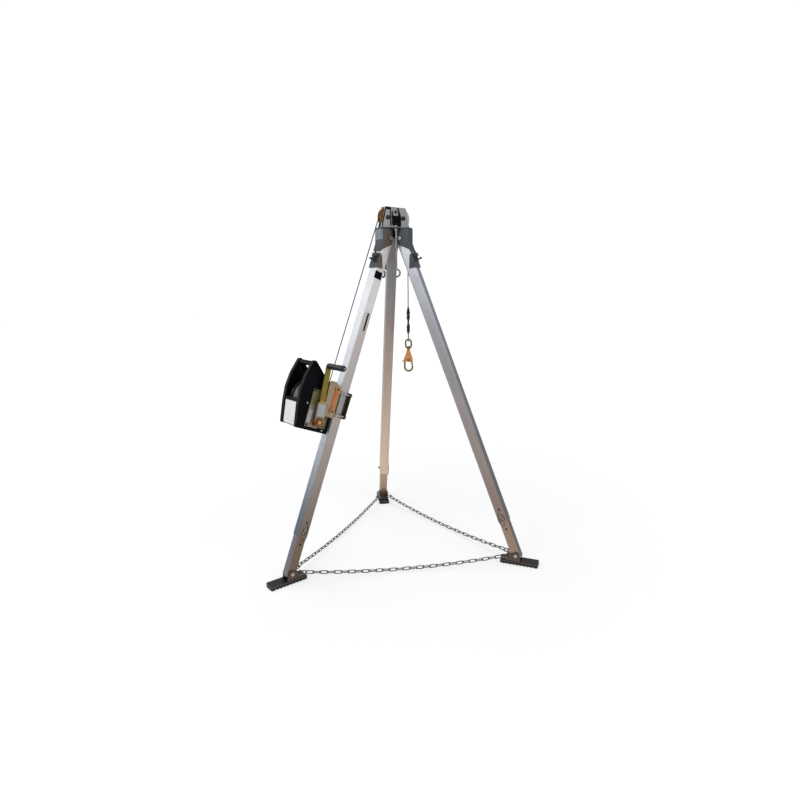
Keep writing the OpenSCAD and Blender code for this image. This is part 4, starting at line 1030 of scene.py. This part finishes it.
# A head's top as a share of its radius, and its upright part as a share of its height
HEXAGON_TOP, ROUND_TOP, UPRIGHT = 0.86, 0.72, 0.6


def fitted(name, mesh, finish_name, body):
    """A small modelled piece with its finish, riding on a body."""
    mesh.materials.append(finish[finish_name])
    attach(new_object(name, mesh), body)


def panel(name, middle, across, upward, size, corner, thick, finish_name, body):
    """A rounded rectangle raised along across x upward; its three sizes are in millimetres."""
    turn = np.linspace(0, np.pi / 2, CORNER_POINTS)
    quarter = corner * np.stack([np.cos(turn), np.sin(turn)], axis=1)
    inset = np.array(size) / 2 - corner
    rim = np.concatenate([quarter + inset, quarter[::-1] * [-1, 1] + inset * [-1, 1],
                          -quarter - inset, quarter[::-1] * [1, -1] + inset * [1, -1]])
    across, upward = (np.asarray(v, float) / np.linalg.norm(v) for v in (across, upward))
    raised = MM * thick * np.cross(across, upward)
    base = np.asarray(middle) + MM * (rim[:, :1] * across + rim[:, 1:] * upward)
    mesh = grid_mesh(name, np.stack([base, base + raised]))
    sharpen(mesh)
    fitted(name, mesh, finish_name, body)


def head(name, middle, axis, size, finish_name, body, sides=24):
    """A low screw head, its size a radius and a height in millimetres; six sides make it a hexagon."""
    radius, height = size
    top = radius * (HEXAGON_TOP if sides == HEXAGON else ROUND_TOP)
    profile = MM * np.array([
        [AXIS_GAP, 0], [radius, 0], [radius, UPRIGHT * height], [top, height], [AXIS_GAP, height]])
    fitted(name, lathe(name, profile, middle, axis, sides), finish_name, body)


# %% Winch: bare labels, lip and fasteners
# Sideways places of the case, the gear plate, the crank's arm, the strap's bosses and their caps
CASE_SIDE, PLATE_SIDE, ARM_SIDE, BOSS_SIDE, CAP_SIDE = 78.0, 82.0, 104.0, 87.1, 92.5
BARE_THICK, FRONT_THICK, WING_THICK = 0.5, 0.9, 3.2
FRONT_RISE = 0.56
LIP_OUT, LIP_HALF, LIP_UP, LIP_RADIUS, LIP_STEP = 93, 54, -22, 4.5, 0.006
# Places, outwards and up from the drum's axis, and sizes, a radius and a height
CASE_SCREWS, CASE_SCREW = ((56, -22), (-55, -128)), (4.2, 2.6)
GEAR_BOLTS, GEAR_BOLT = ((37, 41), (-15, 41), (34, -116), (-17, -34)), (6.0, 4.0)
WING_BOLTS, WING_BOLT = ((-56, -72), (-56, -110)), (4.6, 3.0)
BOSSES, BOSS_CAP, BOSS_BOLT = ((-72, -31), (-72, 72)), (11.5, 5.5), (6.0, 3.2)
AXLE_CAP = (9.0, 2.2)


def winch_head(name, place, side, size, finish_name, sides=24):
    """A screw head or cap on the winch, which looks away from the drum's middle."""
    out, up = place
    head(name, at_winch(out, side, up), np.sign(side) * leg_side, size, finish_name, "leg_winch", sides)


cover_low, cover_high = at_winch(73, 0, -138), at_winch(92, 0, -41)
cover_up = cover_high - cover_low
panel("front_label", cover_low + FRONT_RISE * cover_up, leg_side, cover_up, (100, 104), 3, FRONT_THICK,
      "label", "leg_winch")
panel("gear_label", at_winch(29, PLATE_SIDE, -76), -leg_out, leg_up, (19, 58), 2, BARE_THICK, "pale",
      "leg_winch")
lip_path, _ = spaced([at_winch(LIP_OUT, -LIP_HALF, LIP_UP), at_winch(LIP_OUT, LIP_HALF, LIP_UP)], LIP_STEP)
lip = round_tube("cover_lip", lip_path, LIP_RADIUS * MM, leg_out, sides=20)
fitted("cover_lip", lip, "plastic", "leg_winch")
for k, place in enumerate(CASE_SCREWS):
    winch_head(f"case_screw_near_{k}", place, CASE_SIDE, CASE_SCREW, "zinc")
    winch_head(f"case_screw_far_{k}", place, -CASE_SIDE, CASE_SCREW, "zinc")
for k, place in enumerate(GEAR_BOLTS):
    winch_head(f"gear_bolt_{k}", place, PLATE_SIDE, GEAR_BOLT, "black", HEXAGON)
winch_head("axle_cap", (0, 0), PLATE_SIDE, AXLE_CAP, "black")
panel("gear_wing", at_winch(-45.5, CASE_SIDE, -91), -leg_out, leg_up, (38, 56), 4, WING_THICK, "dull_olive",
      "leg_winch")
for k, place in enumerate(WING_BOLTS):
    winch_head(f"wing_bolt_{k}", place, CASE_SIDE + WING_THICK, WING_BOLT, "black", HEXAGON)
for k, place in enumerate(BOSSES):
    winch_head(f"boss_cap_{k}", place, BOSS_SIDE, BOSS_CAP, "gold", MANY_SIDES)
    winch_head(f"boss_bolt_{k}", place, CAP_SIDE, BOSS_BOLT, "black", HEXAGON)
print("winch labels, lip and fasteners made")

# %% Winch leg: bare plates below the head
# Name, place outwards and up from the pivot, size and finish
LEG_PLATES = (
    ("leg_dark_plate", 2, -188, (42, 36), "plastic"),
    ("leg_pale_plate", 1, -291, (42, 166), "label"),
    ("leg_dark_bar", -6, -421, (9, 88), "plastic"),
)
PLATE_CORNER, PLATE_THICK = 1.5, 0.4
for name, out, up, size, look in LEG_PLATES:
    panel(name, on_leg("winch", out, TUBE_SIDE, up), -leg_out, leg_up, size, PLATE_CORNER, PLATE_THICK,
          look, "leg_winch")
print("leg plates:", len(LEG_PLATES))

# %% Turret: strips of painted shade on each cheek: a broad one and its arm, an upright one, one along the edge and one at the top
# Every strip below is a dark sheet of painted shade, standing for the shade and the gaps between the
# turret's plates
CHEEK_FOOT, SHADE_CORNER, SHADE_THICK = 18 * MM, 2, 0.8
EDGE_INSET, EDGE_FOOT, EDGE_TOP = 4.5, 0.9, 0.35
cheek_low, cheek_high = (np.array(corner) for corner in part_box("cheek_plates"))
turret_middle = (sheave_first + sheave_last) / 2
tall = (cheek_high[2] - cheek_low[2]) / MM
axle_apart = (sheave_last[0] - sheave_first[0]) / MM
sheave_radius = (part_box("sheave_winch_side")[1][2] - sheave_first[2]) / MM
edge_foot, edge_top = (
    -axle_apart / 2 - share * sheave_radius + EDGE_INSET for share in (EDGE_FOOT, EDGE_TOP))
# Lower end and upper end of each strip's middle line (sideways, up), and its width, in millimetres
CHEEK_PAINTED_SHADE = {
    "guard": ((8.5, 0.09 * tall), (8.5, 0.60 * tall), 50),
    "guard_arm": ((29, 0.56 * tall), (13, 0.97 * tall), 9),
    "rib": ((-31, 0.09 * tall), (-31, 0.97 * tall), 6),
    "edge": ((edge_foot, 0.03 * tall), (edge_top, 0.97 * tall), 6),
    "cap": ((edge_top + 14, tall - 13), (edge_top + 14, tall - 1.5), 24),
}
for way, place in ((-1, "near"), (1, "far")):
    shade_foot = np.array([turret_middle[0], way * (cheek_high[1] - CHEEK_FOOT), cheek_low[2]])
    for part, (low, high, width) in CHEEK_PAINTED_SHADE.items():
        low, high = (np.array([point[0], 0, point[1]]) for point in (low, high))
        length = np.linalg.norm(high - low)
        along = (high - low) / length
        across = -way * np.array([along[2], 0, -along[0]])
        panel(f"cheek_{part}_{place}", (low + high) / 2 * MM + shade_foot, across, along, (width, length),
              SHADE_CORNER, SHADE_THICK, "plastic", "head")
print("strips on each cheek:", len(CHEEK_PAINTED_SHADE))

# %% Crank: bare plate, gold bar and the cap on the grip's pin
BAR_THICK = 2.4
ARM_SCREWS, ARM_SCREW_UP, ARM_SCREW = (-19, 12), 79, (2.8, 1.8)
PIN_END, GRIP_CAP, GRIP_SCREW = 224.3, (10.4, 4.6), (3.6, 1.6)


def at_arm(out, side, up):
    """A point in millimetres from the crank's axis: across the arm, sideways, up along the arm."""
    return crank_axis + MM * (out * arm_out + side * leg_side + up * arm_up)


panel("arm_label", at_arm(-3, ARM_SIDE, 55), -arm_out, arm_up, (38, 56), 2, BARE_THICK, "pale", "crank")
panel("arm_bar", at_arm(-5, ARM_SIDE, 90), -arm_out, arm_up, (34, 7), 2, BAR_THICK, "gold", "crank")
for k, out in enumerate(ARM_SCREWS):
    head(f"arm_screw_{k}", at_arm(out, ARM_SIDE + BARE_THICK, ARM_SCREW_UP), leg_side, ARM_SCREW, "zinc",
         "crank")
grip_line = grip_axis * [1, 0, 1]
cap_end = PIN_END + GRIP_CAP[1]
head("grip_cap", grip_line + PIN_END * MM * leg_side, leg_side, GRIP_CAP, "grip", "crank", MANY_SIDES)
head("grip_screw", grip_line + cap_end * MM * leg_side, leg_side, GRIP_SCREW, "zinc", "crank")
print("grip's cap ends", cap_end, "mm to the side")

# %% Hook: a small bare plate above the gate
HOOK_PLATE_RISE, HOOK_HALF_THICK = 5 * MM, 7 * MM
hook_side = np.array(joint_of["gate_open"]["axis"])
hook_across = np.cross(hook_side, UP)
hook_middle = load_axis * [1, 1, 0] + (gate_axis[2] + HOOK_PLATE_RISE) * UP
panel("hook_plate", hook_middle - HOOK_HALF_THICK * hook_side, hook_across, UP, (15, 13), 2, BARE_THICK,
      "olive", body_of_node["hook_body"])
print("hook plate at", hook_middle)
